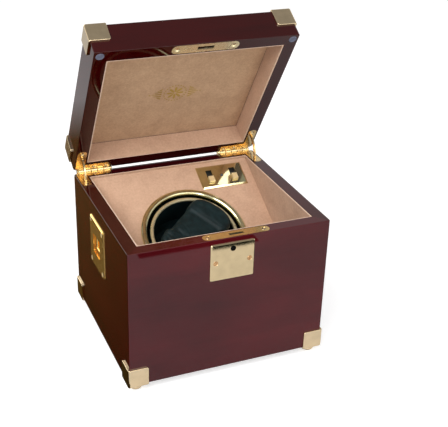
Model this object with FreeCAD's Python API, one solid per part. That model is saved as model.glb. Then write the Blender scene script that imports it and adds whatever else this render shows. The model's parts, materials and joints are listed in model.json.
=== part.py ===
# A single-watch winder box: a lacquered wooden box with a hinged lid, brass fittings, and an
# inclined suede deck that carries a motor-driven rotor with a lift-out watch cushion.
# Millimetres. X points right, Y points back, Z points up. The origin lies on the surface the
# box stands on, under the centre of the base. The lid is written out open on its stop.
import FreeCAD, Part
import math
import os

V = FreeCAD.Vector

# ---- driving dimensions: case ----
box_width = 190.0
box_depth = 172.0
base_height = 134.0
lid_height = 30.0
wall = 12.0
case_corner_radius = 1.2
case_edge_radius = 0.8
floor_thickness = 6.0
lid_panel_thickness = 7.0
rim_gap = 0.7                 # between the two rims when the lid is closed
lining = 1.3                  # suede-covered board
lid_pad_thickness = 2.2
foot_height = 5.4             # below the corner cap
seat_clearance = 0.1          # round every let-in fitting
moving_clearance = 0.35       # round every moving piece that is not a fit
running_clearance = 0.04      # radial, pins and shafts in their holes

# ---- driving dimensions: lid hinges ----
open_angle = 58.0
pin_setback = 1.3             # pin axis behind the rear face
pin_radius = 1.5
knuckle_radius = 3.5
knuckle_count = 5
knuckle_length = 6.1
knuckle_gap = 0.3
knuckle_bevel = 0.45          # on the ends of each knuckle
barrel_inset = 4.4            # outer end of each barrel, in from the side of the box
barrel_clearance = 0.45       # between the knuckles and the wood
pin_head_length = 1.9         # at the inner end of the barrel
pin_button_radius = 2.6       # the riveted outer end
pin_button_length = 0.8
strip_screw_places = (4.0, 16.0)      # outwards from the inner end of the barrel
nose_screw_inset = 3.9
nose_screw_gap = 0.55         # between its head and the room for the stop lugs
leaf_thickness = 1.5
leaf_strip_width = 8.6        # along the rear rim
leaf_arm_width = 9.0          # along the side rim
leaf_arm_reach = 32.5         # from the pin axis
quadrant_width = 3.0
quadrant_thickness = 1.5
stop_lug_width = 4.8
stop_lug_angle = 6.0
stop_play = 0.2               # between a lug and its leaf at the stop
slot_spare_angle = 2.0        # past the deepest place of a lug

# ---- driving dimensions: corner caps and feet ----
cap_size = 17.8
cap_thickness = 1.6
cap_corner_radius = 2.0
cap_edge_radius = 0.6
foot_inset = 8.2
foot_radius = 6.3
foot_sole_radius = 4.4
foot_stud_radius = 1.8
foot_stud_length = 9.0

# ---- driving dimensions: lock ----
lock_plate_width = 41.5
lock_plate_height = 36.0
lock_plate_thickness = 1.4
lock_plate_drop = 4.6         # below the base rim
plate_bevel = 0.9
plate_corner_radius = 1.6
keyhole_radius = 2.6
keyhole_drop = 10.2
lock_screw_spacing = 32.0
lock_screw_drop = 22.6
lock_body_width = 28.0
lock_body_height = 21.0
lock_body_depth = 8.4
barrel_radius = 4.2
barrel_thickness = 2.4
bolt_width = 11.6
bolt_thickness = 2.4
bolt_height = 16.0
crank_radius = 3.0
crank_pin_radius = 1.0
lock_turn = 90.0
strike_offset = 5.5           # bolt and strikes, to the right of the keyhole
strike_length = 63.0
strike_width = 10.0
strike_thickness = 1.4
strike_screw_spacing = 53.0
base_slot_length = 13.6
base_slot_width = 3.4
lid_slot_length = 15.4
lid_slot_width = 3.6
bumper_radius = 3.8
bumper_dish_radius = 2.5
bumper_dish_depth = 0.5
bumper_bevel = 0.35
bumper_proud = 0.35
bumper_inset = 5.6
bumper_depth = 2.0

# ---- driving dimensions: winder ----
deck_slope = 29.1
deck_thickness = 5.0
ring_centre_x = 0.0
ring_plate_gap = 2.5          # between the ring and the switch plate
ring_outer_radius = 52.4
ring_inner_radius = 46.5
ring_height = 2.6
ring_spigot_wall = 1.7
housing_wall = 1.8
housing_depth = 50.0
housing_flange_radius = 58.0
housing_flange_thickness = 3.0
rotor_outer_radius = 43.4
rotor_wall = 1.8
rotor_depth = 40.0
rim_ring_inner_radius = 40.0
rim_ring_height = 2.2
rim_ring_level = 0.6          # top of the rotor's own ring above the deck
hub_radius = 9.0
shaft_radius = 3.0
bush_radius = 6.0
gear_module = 0.8
wheel_teeth = 54
pinion_teeth = 18
gear_thickness = 5.0
gear_housing_gap = 3.0
gear_plate_drop = 14.0        # below the housing floor
gear_plate_thickness = 2.0
motor_radius = 12.0
motor_length = 23.0
motor_floor_gap = 1.2         # under the lowest point of the motor can
motor_shaft_radius = 1.5
motor_tail_radius = 2.5
motor_tail_length = 1.6
motor_plate_half_width = 37.0
motor_plate_left = 24.0       # from the rotor shaft
motor_plate_right = 14.0      # from the motor shaft
motor_plate_corner = 8.0
post_circle = 33.0            # the posts that carry the motor plate
post_radius = 3.0
bush_flange = 1.6
bush_flange_thickness = 1.5
rotor_bevel = 5.0
cushion_radius = 39.4
cushion_half_width = 24.0
cushion_above = 11.5
cushion_below = 27.0
cushion_angle = 38.0          # long axis, from +X towards the rear
cushion_corner = 6.0
cushion_seat_radius = 16.0
cushion_seat_bore = 12.0
cushion_seat_floor = 2.0
soft_clearance = 0.3          # under the cushion
batten_size = 8.0
board_length = 50.0
board_width = 40.0
board_thickness = 1.6
board_standoff = 4.0
board_post_radius = 2.0
board_back_margin = 14.0      # from the lining of the rear wall
chip_length = 14.0
chip_width = 8.0
chip_height = 2.0
capacitor_radius = 3.2
capacitor_height = 7.0

# ---- driving dimensions: switch plate ----
switch_plate_length = 48.4
switch_plate_width = 27.0
switch_plate_thickness = 1.8
switch_plate_bevel = 1.5
switch_side_margin = 8.5      # from the lining of the right wall
switch_back_margin = 5.2      # from the lining of the rear wall, along the slope
switch_pitch = 25.0
switch_slot_width = 6.2
switch_slot_length = 15.4
slider_length = 6.4
slider_height = 2.6
slider_flange = 1.2
slider_play = 0.3             # above and below the slider's flange
led_radius = 1.5
led_proud = 1.0
led_stem = 3.5                # below the plate
led_collar = 0.5
switch_body_width = 10.0
switch_body_length = 21.0
switch_body_height = 6.5
switch_board_length = 40.0
switch_board_thickness = 1.6

# ---- driving dimensions: side handles, jack ----
handle_width = 42.0
handle_height = 48.5
handle_thickness = 1.4
handle_centre_y = 5.0
handle_drop = 14.5
recess_width = 23.0
recess_height = 21.0
recess_depth = 8.6
recess_wall = 0.9
bail_wire_radius = 1.3
bail_width = 16.5
bail_height = 13.5
bail_pin_radius = 0.9
handle_screw_inset = 3.6
screw_head_radius = 2.3
screw_shank_radius = 1.1
screw_length = 7.0
jack_radius = 4.0
jack_inset = 40.0             # from the left side
jack_height = 24.0
jack_bore_radius = 2.8
jack_bore_depth = 9.0
jack_pin_radius = 1.0
jack_rim_radius = 5.8
jack_rim_thickness = 1.2
jack_body_size = 9.2
jack_body_depth = 11.5

# ---- levels worked out from them ----
base_bottom = foot_height + cap_thickness
base_top = base_bottom + base_height
lid_bottom = base_top + rim_gap
lid_top = lid_bottom + lid_height
half_x = box_width / 2
half_y = box_depth / 2
inner_x = half_x - wall
inner_y = half_y - wall
lined_x = inner_x - lining
lined_y = inner_y - lining
rim_y = half_y - wall / 2
rim_x = half_x - wall / 2
floor_top = base_bottom + floor_thickness
pin_y = half_y + pin_setback
pin_z = base_top + rim_gap / 2
slope = math.radians(deck_slope)
jack_x = -(half_x - jack_inset)
switch_plate_x = lined_x - switch_side_margin - switch_plate_length / 2
switch_plate_s = lined_y / math.cos(slope) - switch_back_margin - switch_plate_width / 2
plate_corner_x = switch_plate_x - switch_plate_length / 2 - ring_centre_x
ring_centre_s = (
    switch_plate_s
    - switch_plate_width / 2
    - math.sqrt((ring_outer_radius + ring_plate_gap) ** 2 - plate_corner_x**2)
)                             # along the slope, from y = 0
housing_floor = -housing_depth            # inner floor of the fixed housing, from the deck
housing_under = housing_floor - housing_wall
gear_top = housing_under - gear_housing_gap
gear_low = gear_top - gear_thickness
plate_top = housing_under - gear_plate_drop
plate_low = plate_top - gear_plate_thickness
can_low = plate_low - motor_length
deck_level = (
    floor_top
    + motor_floor_gap
    - (ring_centre_s - motor_radius) * math.sin(slope)
    - can_low * math.cos(slope)
)                             # top of the deck at y = 0
barrel_outer_x = half_x - barrel_inset
barrel_length = knuckle_count * knuckle_length + (knuckle_count - 1) * knuckle_gap
barrel_inner_x = barrel_outer_x - barrel_length
leaf_depth = rim_gap / 2 + leaf_thickness          # from the pin axis to the back of a leaf
stop_lug_reach = (
    leaf_arm_reach - nose_screw_inset - screw_head_radius - nose_screw_gap - moving_clearance
)
quadrant_radius = stop_lug_reach - stop_lug_width / 2          # middle of the stay
stop_lug_start = math.degrees(
    math.asin((leaf_depth + stop_play) / (quadrant_radius - stop_lug_width / 2))
)
stop_lug_end = stop_lug_start + stop_lug_angle

parts = {}


def block(x0, x1, y0, y1, z0, z1):
    return Part.makeBox(x1 - x0, y1 - y0, z1 - z0, V(x0, y0, z0))


def rod(radius, start, direction, length):
    return Part.makeCylinder(radius, length, V(*start), V(*direction))


def cone(r0, r1, start, direction, length):
    return Part.makeCone(r0, r1, length, V(*start), V(*direction))


def fuse(shapes):
    return shapes[0].multiFuse(shapes[1:]).removeSplitter()


def cut(shape, tools):
    for tool in tools:
        shape = shape.cut(tool)
    return shape


def prism(points, direction):
    wire = Part.makePolygon([V(*p) for p in points + points[:1]])
    return Part.Face(wire).extrude(V(*direction))


def revolve(points, start=(0, 0, 0), direction=(0, 0, 1)):
    """Turns a closed outline given as (radius, height) about an axis."""
    wire = Part.makePolygon([V(r, 0, h) for r, h in points + points[:1]])
    solid = Part.Face(wire).revolve(V(0, 0, 0), V(0, 0, 1), 360)
    turn = FreeCAD.Rotation(V(0, 0, 1), V(*direction))
    solid.Placement = FreeCAD.Placement(V(*start), turn)
    return solid


def ring(outer, inner, start, direction, length):
    return rod(outer, start, direction, length).cut(rod(inner, start, direction, length))


def on_deck(shape):
    """Moves a shape from deck axes (origin at the rotor centre, w normal) to the box."""
    along = ring_centre_s
    centre = V(
        ring_centre_x,
        along * math.cos(slope),
        deck_level + along * math.sin(slope),
    )
    shape = shape.copy()
    shape.Placement = FreeCAD.Placement(centre, FreeCAD.Rotation(V(1, 0, 0), deck_slope)).multiply(
        shape.Placement
    )
    return shape


def swing_open(shape, angle=open_angle):
    shape = shape.copy()
    shape.rotate(V(0, pin_y, pin_z), V(-1, 0, 0), angle)
    return shape


def mirrored(shape):
    return shape.mirror(V(0, 0, 0), V(1, 0, 0))


def save(name, solids):
    solids = solids if isinstance(solids, list) else [solids]
    found = [s for shape in solids for s in shape.Solids]
    parts[name] = Part.makeCompound(found) if len(found) > 1 else found[0]


# ---- case ----
def rounded_case(z0, z1, open_side):
    """Outer body of one half of the case; its rim edges stay nearly sharp."""
    body = block(-half_x, half_x, -half_y, half_y, z0, z1)
    upright = [e for e in body.Edges if abs(e.tangentAt(e.FirstParameter).z) > 0.9]
    body = body.makeFillet(case_corner_radius, upright)
    level = z1 if open_side == "top" else z0
    rim, far = [], []
    for edge in body.Edges:
        if edge.BoundBox.ZMax - edge.BoundBox.ZMin < 1e-6:
            (rim if abs(edge.BoundBox.ZMin - level) < 1e-6 else far).append(edge)
    body = body.makeFillet(case_edge_radius, far)
    rim = [
        e
        for e in body.Edges
        if abs(e.BoundBox.ZMin - level) < 1e-6 and abs(e.BoundBox.ZMax - level) < 1e-6
    ]
    return body.makeFillet(case_edge_radius / 2, rim)


def mitred_walls(body, z0, z1):
    """Splits a hollow case half into four walls that meet on 45 degree mitres."""
    over = 1.0
    deep = wall + 2.0
    hollow = block(-inner_x, inner_x, -inner_y, inner_y, z0 - over, z1 + over)
    shell = body.cut(hollow)
    x0, y0 = half_x + over, half_y + over
    x1, y1 = half_x - deep, half_y - deep
    rise = (0, 0, z1 - z0 + 2 * over)
    z = z0 - over
    outlines = {
        "front": [(-x0, -y0, z), (x0, -y0, z), (x1, -y1, z), (-x1, -y1, z)],
        "back": [(-x0, y0, z), (-x1, y1, z), (x1, y1, z), (x0, y0, z)],
        "left": [(-x0, -y0, z), (-x1, -y1, z), (-x1, y1, z), (-x0, y0, z)],
        "right": [(x0, -y0, z), (x0, y0, z), (x1, y1, z), (x1, -y1, z)],
    }
    return {side: shell.common(prism(points, rise)) for side, points in outlines.items()}


def cut_all(walls, tools):
    for side in walls:
        for tool in tools:
            if walls[side].BoundBox.intersect(tool.BoundBox):
                walls[side] = walls[side].cut(tool)


# ---- screws and plates ----
def screw(head, direction, length=screw_length):
    """A countersunk screw whose flat head lies at head; direction points into the wood."""
    depth = screw_head_radius - screw_shank_radius
    top = cone(screw_head_radius, screw_shank_radius, head, direction, depth)
    under = [h + d * depth for h, d in zip(head, direction)]
    return top.fuse(rod(screw_shank_radius, under, direction, length - depth)).removeSplitter()


def screw_hole(head, direction, length=screw_length):
    grow = seat_clearance / 2
    depth = screw_head_radius - screw_shank_radius
    start = [h - d * 0.5 for h, d in zip(head, direction)]
    mouth = rod(screw_head_radius + grow, start, direction, 0.5 + grow)
    seat = [h + d * grow for h, d in zip(head, direction)]
    top = cone(screw_head_radius + grow, screw_shank_radius + grow, seat, direction, depth)
    return mouth.fuse([top, rod(screw_shank_radius + grow, head, direction, length + grow)])


def bevelled_plate(width, height, thickness, bevel, corner):
    """A plate in the XY plane with its back at z = 0 and a bevelled face."""
    plate = Part.makeBox(width, height, thickness, V(-width / 2, -height / 2, 0))
    if corner > bevel:
        upright = [e for e in plate.Edges if abs(e.tangentAt(e.FirstParameter).z) > 0.9]
        plate = plate.makeFillet(corner, upright)
    top = [e for e in plate.Edges if e.BoundBox.ZMin > thickness - 1e-6]
    return plate.makeChamfer(bevel, top)


def obround(length, width, thickness, z=0.0):
    """A round-ended plate along X, centred on the origin, with its back at z."""
    r = width / 2
    half = length / 2 - r
    body = Part.makeBox(2 * half, width, thickness, V(-half, -r, z))
    ends = [Part.makeCylinder(r, thickness, V(s * half, 0, z)) for s in (-1, 1)]
    return fuse([body] + ends)


def moved(shape, x, y, z):
    shape = shape.copy()
    shape.translate(V(x, y, z))
    return shape


# ---- hinges ----
def hinge_leaf(up):
    """The right-hand leaf let into one rim, closed; up is +1 for the lid, -1 for the base."""
    face = pin_z + up * rim_gap / 2
    back = face + up * leaf_thickness
    low, high = min(face, back), max(face, back)
    arm_in, arm_out = rim_x - leaf_arm_width / 2, rim_x + leaf_arm_width / 2
    end_y = pin_y - leaf_arm_reach
    strip = block(barrel_inner_x, barrel_outer_x, half_y - leaf_strip_width, pin_y, low, high)
    r = leaf_arm_width / 2
    arm = block(arm_in, arm_out, end_y + r, half_y, low, high)
    nose = rod(r, (rim_x, end_y + r, low), (0, 0, 1), high - low)
    return fuse([strip, arm, nose])


def leaf_pocket(up):
    """The mortise for a leaf, a little larger all round and open to the rim."""
    c = seat_clearance
    back = pin_z + up * leaf_depth
    low, high = min(pin_z, back), max(pin_z, back)
    arm_in, arm_out = rim_x - leaf_arm_width / 2, rim_x + leaf_arm_width / 2
    end_y = pin_y - leaf_arm_reach
    strip = block(
        barrel_inner_x - c, arm_out + c, half_y - leaf_strip_width - c, pin_y, low, high
    )
    r = leaf_arm_width / 2
    arm = block(arm_in - c, arm_out + c, end_y + r, half_y, low, high)
    nose = rod(r + c, (rim_x, end_y + r, low), (0, 0, 1), high - low)
    return fuse([strip, arm, nose])


def knuckle_span(index):
    outer = barrel_outer_x - index * (knuckle_length + knuckle_gap)
    return outer - knuckle_length, outer


def knuckle(x0):
    """One bevelled knuckle of the right-hand barrel, from x0 outwards."""
    r, b, length = knuckle_radius, knuckle_bevel, knuckle_length
    outline = [(0, 0), (r - b, 0), (r, b), (r, length - b), (r - b, length), (0, length)]
    return revolve(outline, (x0, pin_y, pin_z), (1, 0, 0))


def sector(r0, r1, a0, a1, x0, x1):
    """Part of a flat ring about the pin axis; angles rise from the front rim plane."""
    reach = r1 * 2.5
    pts = [(x0, pin_y, pin_z)]
    steps = max(2, int(math.ceil(abs(a1 - a0) / 40.0)) + 1)
    for i in range(steps):
        a = math.radians(a0 + (a1 - a0) * i / (steps - 1))
        pts.append((x0, pin_y - reach * math.cos(a), pin_z + reach * math.sin(a)))
    wedge = prism(pts, (x1 - x0, 0, 0))
    band = ring(r1, r0, (x0, pin_y, pin_z), (1, 0, 0), x1 - x0)
    return band.common(wedge)


def quadrant():
    """The right-hand curved stay with its two stop lugs, at the open stop."""
    r0, r1 = quadrant_radius - quadrant_width / 2, quadrant_radius + quadrant_width / 2
    x0, x1 = rim_x - quadrant_thickness / 2, rim_x + quadrant_thickness / 2
    lug0, lug1 = quadrant_radius - stop_lug_width / 2, quadrant_radius + stop_lug_width / 2
    far = open_angle + stop_lug_end
    stay = sector(r0, r1, -stop_lug_end, far, x0, x1)
    low = sector(lug0, lug1, -stop_lug_end, -stop_lug_start, x0, x1)
    high = sector(lug0, lug1, open_angle + stop_lug_start, far, x0, x1)
    return fuse([stay, low, high])


def quadrant_slot(up):
    """Where the stay and its lug travel inside one half, in that half's closed place."""
    c = moving_clearance
    x0, x1 = rim_x - quadrant_thickness / 2 - c, rim_x + quadrant_thickness / 2 + c
    deepest = open_angle / 2 + stop_lug_end + slot_spare_angle
    lug0 = quadrant_radius - stop_lug_width / 2 - c
    lug1 = quadrant_radius + stop_lug_width / 2 + c
    groove = sector(lug0, lug1, 0, up * deepest, x0, x1)
    under = pin_z + up * leaf_depth
    far = under + up * lug1
    keep = block(x0, x1, pin_y - 2 * lug1, pin_y, min(under, far), max(under, far))
    r0 = quadrant_radius - quadrant_width / 2 - c
    r1 = quadrant_radius + quadrant_width / 2 + c
    mouth = sector(r0, r1, 0, up * deepest, x0, x1)
    return groove.common(keep), mouth


def build_hinge():
    """Right-hand hinge pieces with the lid closed."""
    pieces = {}
    axis = (1, 0, 0)
    for name, up, own in (("base", -1, (0, 2, 4)), ("lid", 1, (1, 3))):
        leaf = hinge_leaf(up)
        for i in range(knuckle_count):
            x0, x1 = knuckle_span(i)
            if i in own:
                leaf = leaf.fuse(knuckle(x0))
            else:
                gap = knuckle_gap
                clear = rod(
                    knuckle_radius + moving_clearance,
                    (x0 - gap, pin_y, pin_z),
                    axis,
                    x1 - x0 + 2 * gap,
                )
                leaf = leaf.cut(clear)
        bore = rod(pin_radius + running_clearance, (0, pin_y, pin_z), axis, half_x + 10)
        button_room = rod(
            pin_button_radius + moving_clearance, (barrel_outer_x, pin_y, pin_z), axis, wall
        )
        leaf = leaf.cut(bore).cut(button_room).removeSplitter()
        groove, mouth = quadrant_slot(up)
        leaf = leaf.cut(mouth)
        pieces[name] = leaf
    head_back = pin_head_length - knuckle_gap / 2
    head_points = [
        (0, 0),
        (knuckle_radius - 0.9, 0),
        (knuckle_radius - 0.1, pin_head_length * 0.55),
        (knuckle_radius - 0.1, head_back),
        (0, head_back),
    ]
    head = revolve(head_points, (barrel_inner_x - pin_head_length, pin_y, pin_z), axis)
    shank_start = barrel_inner_x - pin_head_length + head_back
    shank_end = barrel_outer_x + seat_clearance
    shank = rod(pin_radius, (shank_start, pin_y, pin_z), axis, shank_end - shank_start)
    button = rod(pin_button_radius, (shank_end, pin_y, pin_z), axis, pin_button_length)
    pieces["pin"] = fuse([shank, head, button])
    return pieces


def hinge_screw_places():
    """(x, y) of the right-hand leaf screws: two on the strip and one on the arm's nose."""
    strip_y = pin_y - knuckle_radius - barrel_clearance - screw_head_radius - seat_clearance
    arm_y = pin_y - leaf_arm_reach + nose_screw_inset
    return [(barrel_inner_x + x, strip_y) for x in strip_screw_places] + [(rim_x, arm_y)]


def barrel_groove():
    start = barrel_inner_x - pin_head_length - barrel_clearance
    radius = knuckle_radius + barrel_clearance
    return rod(radius, (start, pin_y, pin_z), (1, 0, 0), half_x + 2 - start)


# ---- corner caps and feet ----
def corner_cap(z_face, inward, wood):
    """The front-right cap of one half; z_face is the case's outer level there."""
    x0, x1 = half_x - cap_size, half_x + cap_thickness
    y0, y1 = -half_y - cap_thickness, -half_y + cap_size
    out = z_face - inward * cap_thickness
    deep = z_face + inward * cap_size
    body = block(x0, x1, y0, y1, min(out, deep), max(out, deep))

    def far_planes(edge):
        b = edge.BoundBox
        level = b.ZMin if inward > 0 else b.ZMax
        beyond = level > deep - 1e-6 if inward > 0 else level < deep + 1e-6
        return sum((b.XMax < x0 + 1e-6, b.YMin > y1 - 1e-6, beyond))

    outer = [e for e in body.Edges if far_planes(e) == 0]
    body = body.makeFillet(cap_corner_radius, outer)
    inner = [e for e in body.Edges if far_planes(e) == 2]
    body = body.makeFillet(cap_corner_radius, inner)
    border = [e for e in body.Edges if far_planes(e) == 1]
    body = body.makeFillet(cap_edge_radius, border)
    return body.cut(wood)


def four_corners(shape):
    """Front-right, front-left, back-right and back-left copies of a front-right piece."""
    back = shape.mirror(V(0, 0, 0), V(0, 1, 0))
    return [shape, mirrored(shape), back, mirrored(back)]


def bun_foot(x, y):
    h = foot_height
    profile = [
        (0, 0),
        (foot_sole_radius, 0),
        (foot_sole_radius + 0.9, 0.35),
        (foot_radius - 0.3, h * 0.27),
        (foot_radius, h * 0.42),
        (foot_radius - 0.3, h * 0.58),
        (foot_radius - 1.0, h * 0.72),
        (foot_radius - 1.5, h * 0.8),
        (foot_radius - 1.1, h * 0.9),
        (foot_radius - 1.1, h),
        (foot_stud_radius, h),
        (foot_stud_radius, h + foot_stud_length),
        (0, h + foot_stud_length),
    ]
    return revolve(profile, (x, y, 0))


# ---- lock ----
plate_front = -half_y - lock_plate_thickness
keyhole_z = base_top - keyhole_drop
lock_body_top = base_top - lock_plate_drop - 0.3
lock_body_front = -half_y
bolt_y = -rim_y
bolt_front = bolt_y - bolt_thickness / 2
lock_barrel_back = bolt_front - moving_clearance
lock_barrel_front = lock_barrel_back - barrel_thickness
crank_rise = crank_radius * math.sin(math.radians(lock_turn / 2))
bolt_travel = 2 * crank_rise
bolt_top = base_top - 0.5


def lock_pieces():
    pieces = {}
    centre_z = base_top - lock_plate_drop - lock_plate_height / 2
    plate = bevelled_plate(
        lock_plate_width,
        lock_plate_height,
        lock_plate_thickness,
        plate_bevel,
        plate_corner_radius,
    )
    plate.Placement = FreeCAD.Placement(
        V(0, -half_y, centre_z), FreeCAD.Rotation(V(1, 0, 0), 90)
    )
    inward = (0, 1, 0)
    plate = plate.cut(rod(keyhole_radius, (0, plate_front - 1, keyhole_z), inward, 10))
    screws = []
    for side in (-1, 1):
        head = (side * lock_screw_spacing / 2, plate_front, base_top - lock_screw_drop)
        plate = plate.cut(screw_hole(head, inward))
        screws.append((head, inward))
    pieces["plate"] = plate

    w = lock_body_width / 2
    z0 = lock_body_top - lock_body_height
    y1 = lock_body_front + lock_body_depth
    body = block(-w, w, lock_body_front, y1, z0, lock_body_top)
    c = moving_clearance
    key_bore = rod(keyhole_radius, (0, lock_body_front - 1, keyhole_z), inward, 5)
    chamber = rod(
        barrel_radius + c,
        (0, lock_barrel_front - running_clearance, keyhole_z),
        inward,
        barrel_thickness + running_clearance + c + 0.2,
    )
    bw = bolt_width / 2
    channel = block(
        strike_offset - bw - c,
        strike_offset + bw + c,
        bolt_front - c,
        bolt_y + bolt_thickness / 2 + c,
        bolt_top - bolt_height - c,
        lock_body_top + 1,
    )
    pieces["body"] = cut(body, [key_bore, chamber, channel])

    # the barrel turns in its chamber and lifts the bolt with an eccentric pin
    barrel = rod(barrel_radius, (0, lock_barrel_front, keyhole_z), inward, barrel_thickness)
    socket_half = keyhole_radius * 0.62
    socket = block(
        -socket_half,
        socket_half,
        lock_barrel_front - 1,
        lock_barrel_back - 0.8,
        keyhole_z - socket_half,
        keyhole_z + socket_half,
    )
    pin_x = crank_radius * math.cos(math.radians(lock_turn / 2))
    crank_start = (pin_x, lock_barrel_back, keyhole_z - crank_rise)
    crank = rod(crank_pin_radius, crank_start, inward, bolt_thickness * 0.8)
    pieces["barrel"] = barrel.cut(socket).fuse(crank).removeSplitter()

    bolt = block(
        strike_offset - bw,
        strike_offset + bw,
        bolt_front,
        bolt_front + bolt_thickness,
        bolt_top - bolt_height,
        bolt_top,
    )
    top_edges = [e for e in bolt.Edges if e.BoundBox.ZMin > bolt_top - 1e-6]
    bolt = bolt.makeChamfer(0.5, top_edges)
    grip = crank_pin_radius + moving_clearance
    slot_z = keyhole_z - crank_rise
    cross = block(
        pin_x - grip,
        crank_radius + grip,
        bolt_front - 1,
        bolt_y + bolt_thickness,
        slot_z - grip,
        slot_z + grip,
    )
    pieces["bolt"] = bolt.cut(cross)

    pocket = block(
        -w - seat_clearance,
        w + seat_clearance,
        -half_y - 1,
        y1 + seat_clearance,
        z0 - seat_clearance,
        lock_body_top,
    )
    pieces["pocket"] = pocket
    pieces["bolt_way"] = block(
        strike_offset - base_slot_length / 2,
        strike_offset + base_slot_length / 2,
        -rim_y - base_slot_width / 2,
        -rim_y + base_slot_width / 2,
        lock_body_top - 1,
        base_top,
    )
    return pieces, screws


def strike(z_face, up, slot_length, slot_width):
    """A round-ended plate let flush into the front rim, with its slot and screw holes."""
    back = z_face + up * strike_thickness
    low = min(z_face, back)
    outline = obround(strike_length, strike_width, strike_thickness)
    plate = moved(outline, strike_offset, -rim_y, low)
    plate = plate.cut(
        block(
            strike_offset - slot_length / 2,
            strike_offset + slot_length / 2,
            -rim_y - slot_width / 2,
            -rim_y + slot_width / 2,
            low - 1,
            low + strike_thickness + 1,
        )
    )
    c = seat_clearance
    pocket = obround(strike_length + 2 * c, strike_width + 2 * c, strike_thickness + 5)
    pocket_low = low if up < 0 else low - 5
    pocket = moved(pocket, strike_offset, -rim_y, pocket_low)
    screws = []
    for side in (-1, 1):
        head = (strike_offset + side * strike_screw_spacing / 2, -rim_y, z_face)
        plate = plate.cut(screw_hole(head, (0, 0, up)))
        screws.append((head, (0, 0, up)))
    return plate, pocket, screws


# ---- side handles ----
handle_z = base_top - handle_drop - handle_height / 2
recess_top = handle_z + recess_height / 2
bail_pivot_x = half_x - bail_wire_radius - 0.4
bail_pivot_z = recess_top - recess_wall - bail_wire_radius - 1.6


def handle_pieces():
    """Right-hand flush handle: plate with its recessed cup, and the hanging bail."""
    plate = bevelled_plate(
        handle_width, handle_height, handle_thickness, plate_bevel, plate_corner_radius
    )
    turn = FreeCAD.Rotation(FreeCAD.Matrix(0, 0, 1, 0, 1, 0, 0, 0, 0, 1, 0, 0, 0, 0, 0, 1))
    plate.Placement = FreeCAD.Placement(V(half_x, handle_centre_y, handle_z), turn)
    outer_w, outer_h = recess_width, recess_height
    y0, y1 = handle_centre_y - outer_w / 2, handle_centre_y + outer_w / 2
    z0, z1 = handle_z - outer_h / 2, handle_z + outer_h / 2
    t = recess_wall
    cup = block(half_x - recess_depth, half_x, y0, y1, z0, z1)
    upright = [e for e in cup.Edges if abs(e.tangentAt(e.FirstParameter).x) > 0.9]
    cup = cup.makeFillet(3.0, upright)
    inner = block(half_x - recess_depth + t, half_x + 5, y0 + t, y1 - t, z0 + t, z1 - t)
    upright = [e for e in inner.Edges if abs(e.tangentAt(e.FirstParameter).x) > 0.9]
    inner = inner.makeFillet(3.0 - t, upright)
    pin_reach = outer_w / 2 - t / 2
    pin_hole = rod(
        bail_pin_radius + running_clearance,
        (bail_pivot_x, handle_centre_y - pin_reach, bail_pivot_z),
        (0, 1, 0),
        2 * pin_reach,
    )
    plate = plate.fuse(cup).cut(inner).cut(pin_hole).removeSplitter()
    into = (-1, 0, 0)
    screws = []
    for sy in (-1, 1):
        for sz in (-1, 1):
            head = (
                half_x + handle_thickness,
                handle_centre_y + sy * (handle_width / 2 - handle_screw_inset),
                handle_z + sz * (handle_height / 2 - handle_screw_inset),
            )
            plate = plate.cut(screw_hole(head, into))
            screws.append((head, into))

    r = bail_wire_radius
    half = bail_width / 2 - r
    low = bail_pivot_z - bail_height + r
    px = bail_pivot_x
    bail = [
        rod(bail_pin_radius, (px, handle_centre_y - pin_reach + 0.1, bail_pivot_z), (0, 1, 0),
            2 * pin_reach - 0.2).cut(
            rod(5, (px, handle_centre_y - half, bail_pivot_z), (0, 1, 0), 2 * half)),
        rod(r, (px, handle_centre_y - half, low), (0, 1, 0), 2 * half),
    ]
    for side in (-1, 1):
        y = handle_centre_y + side * half
        bail.append(rod(r, (px, y, low), (0, 0, 1), bail_pivot_z - low))
        bail.append(Part.makeSphere(r, V(px, y, low)))
        bail.append(Part.makeSphere(r, V(px, y, bail_pivot_z)))
    bail = fuse(bail)
    c = seat_clearance
    pocket = block(half_x - recess_depth - c, half_x + 1, y0 - c, y1 + c, z0 - c, z1 + c)
    return plate, bail, pocket, screws


# ---- winder ----
centre_distance = gear_module * (wheel_teeth + pinion_teeth) / 2


def gear_blank(teeth, thickness, start_angle):
    """A spur gear outline with involute flanks, as a prism standing on z = 0."""
    m = gear_module
    pitch_r = m * teeth / 2
    base_r = pitch_r * math.cos(math.radians(20))
    tip_r = pitch_r + 0.85 * m
    root_r = pitch_r - 1.15 * m
    backlash = 0.12

    def involute_angle(radius):
        return math.sqrt(max((radius / base_r) ** 2 - 1, 0)) - math.acos(
            min(base_r / radius, 1)
        )

    half_tooth = (math.pi * m / 2 - backlash) / 2 / pitch_r + involute_angle(pitch_r)
    radii = [max(base_r, root_r), pitch_r, tip_r]
    flank = [(r, half_tooth - involute_angle(r)) for r in radii]
    if root_r < base_r:
        flank.insert(0, (root_r, flank[0][1]))
    points = []
    for tooth in range(teeth):
        middle = start_angle + 2 * math.pi * tooth / teeth
        side = [(r, middle - a) for r, a in flank] + [(r, middle + a) for r, a in flank[::-1]]
        points += [(r * math.cos(a), r * math.sin(a), 0) for r, a in side]
    return prism(points, (0, 0, thickness))


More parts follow.
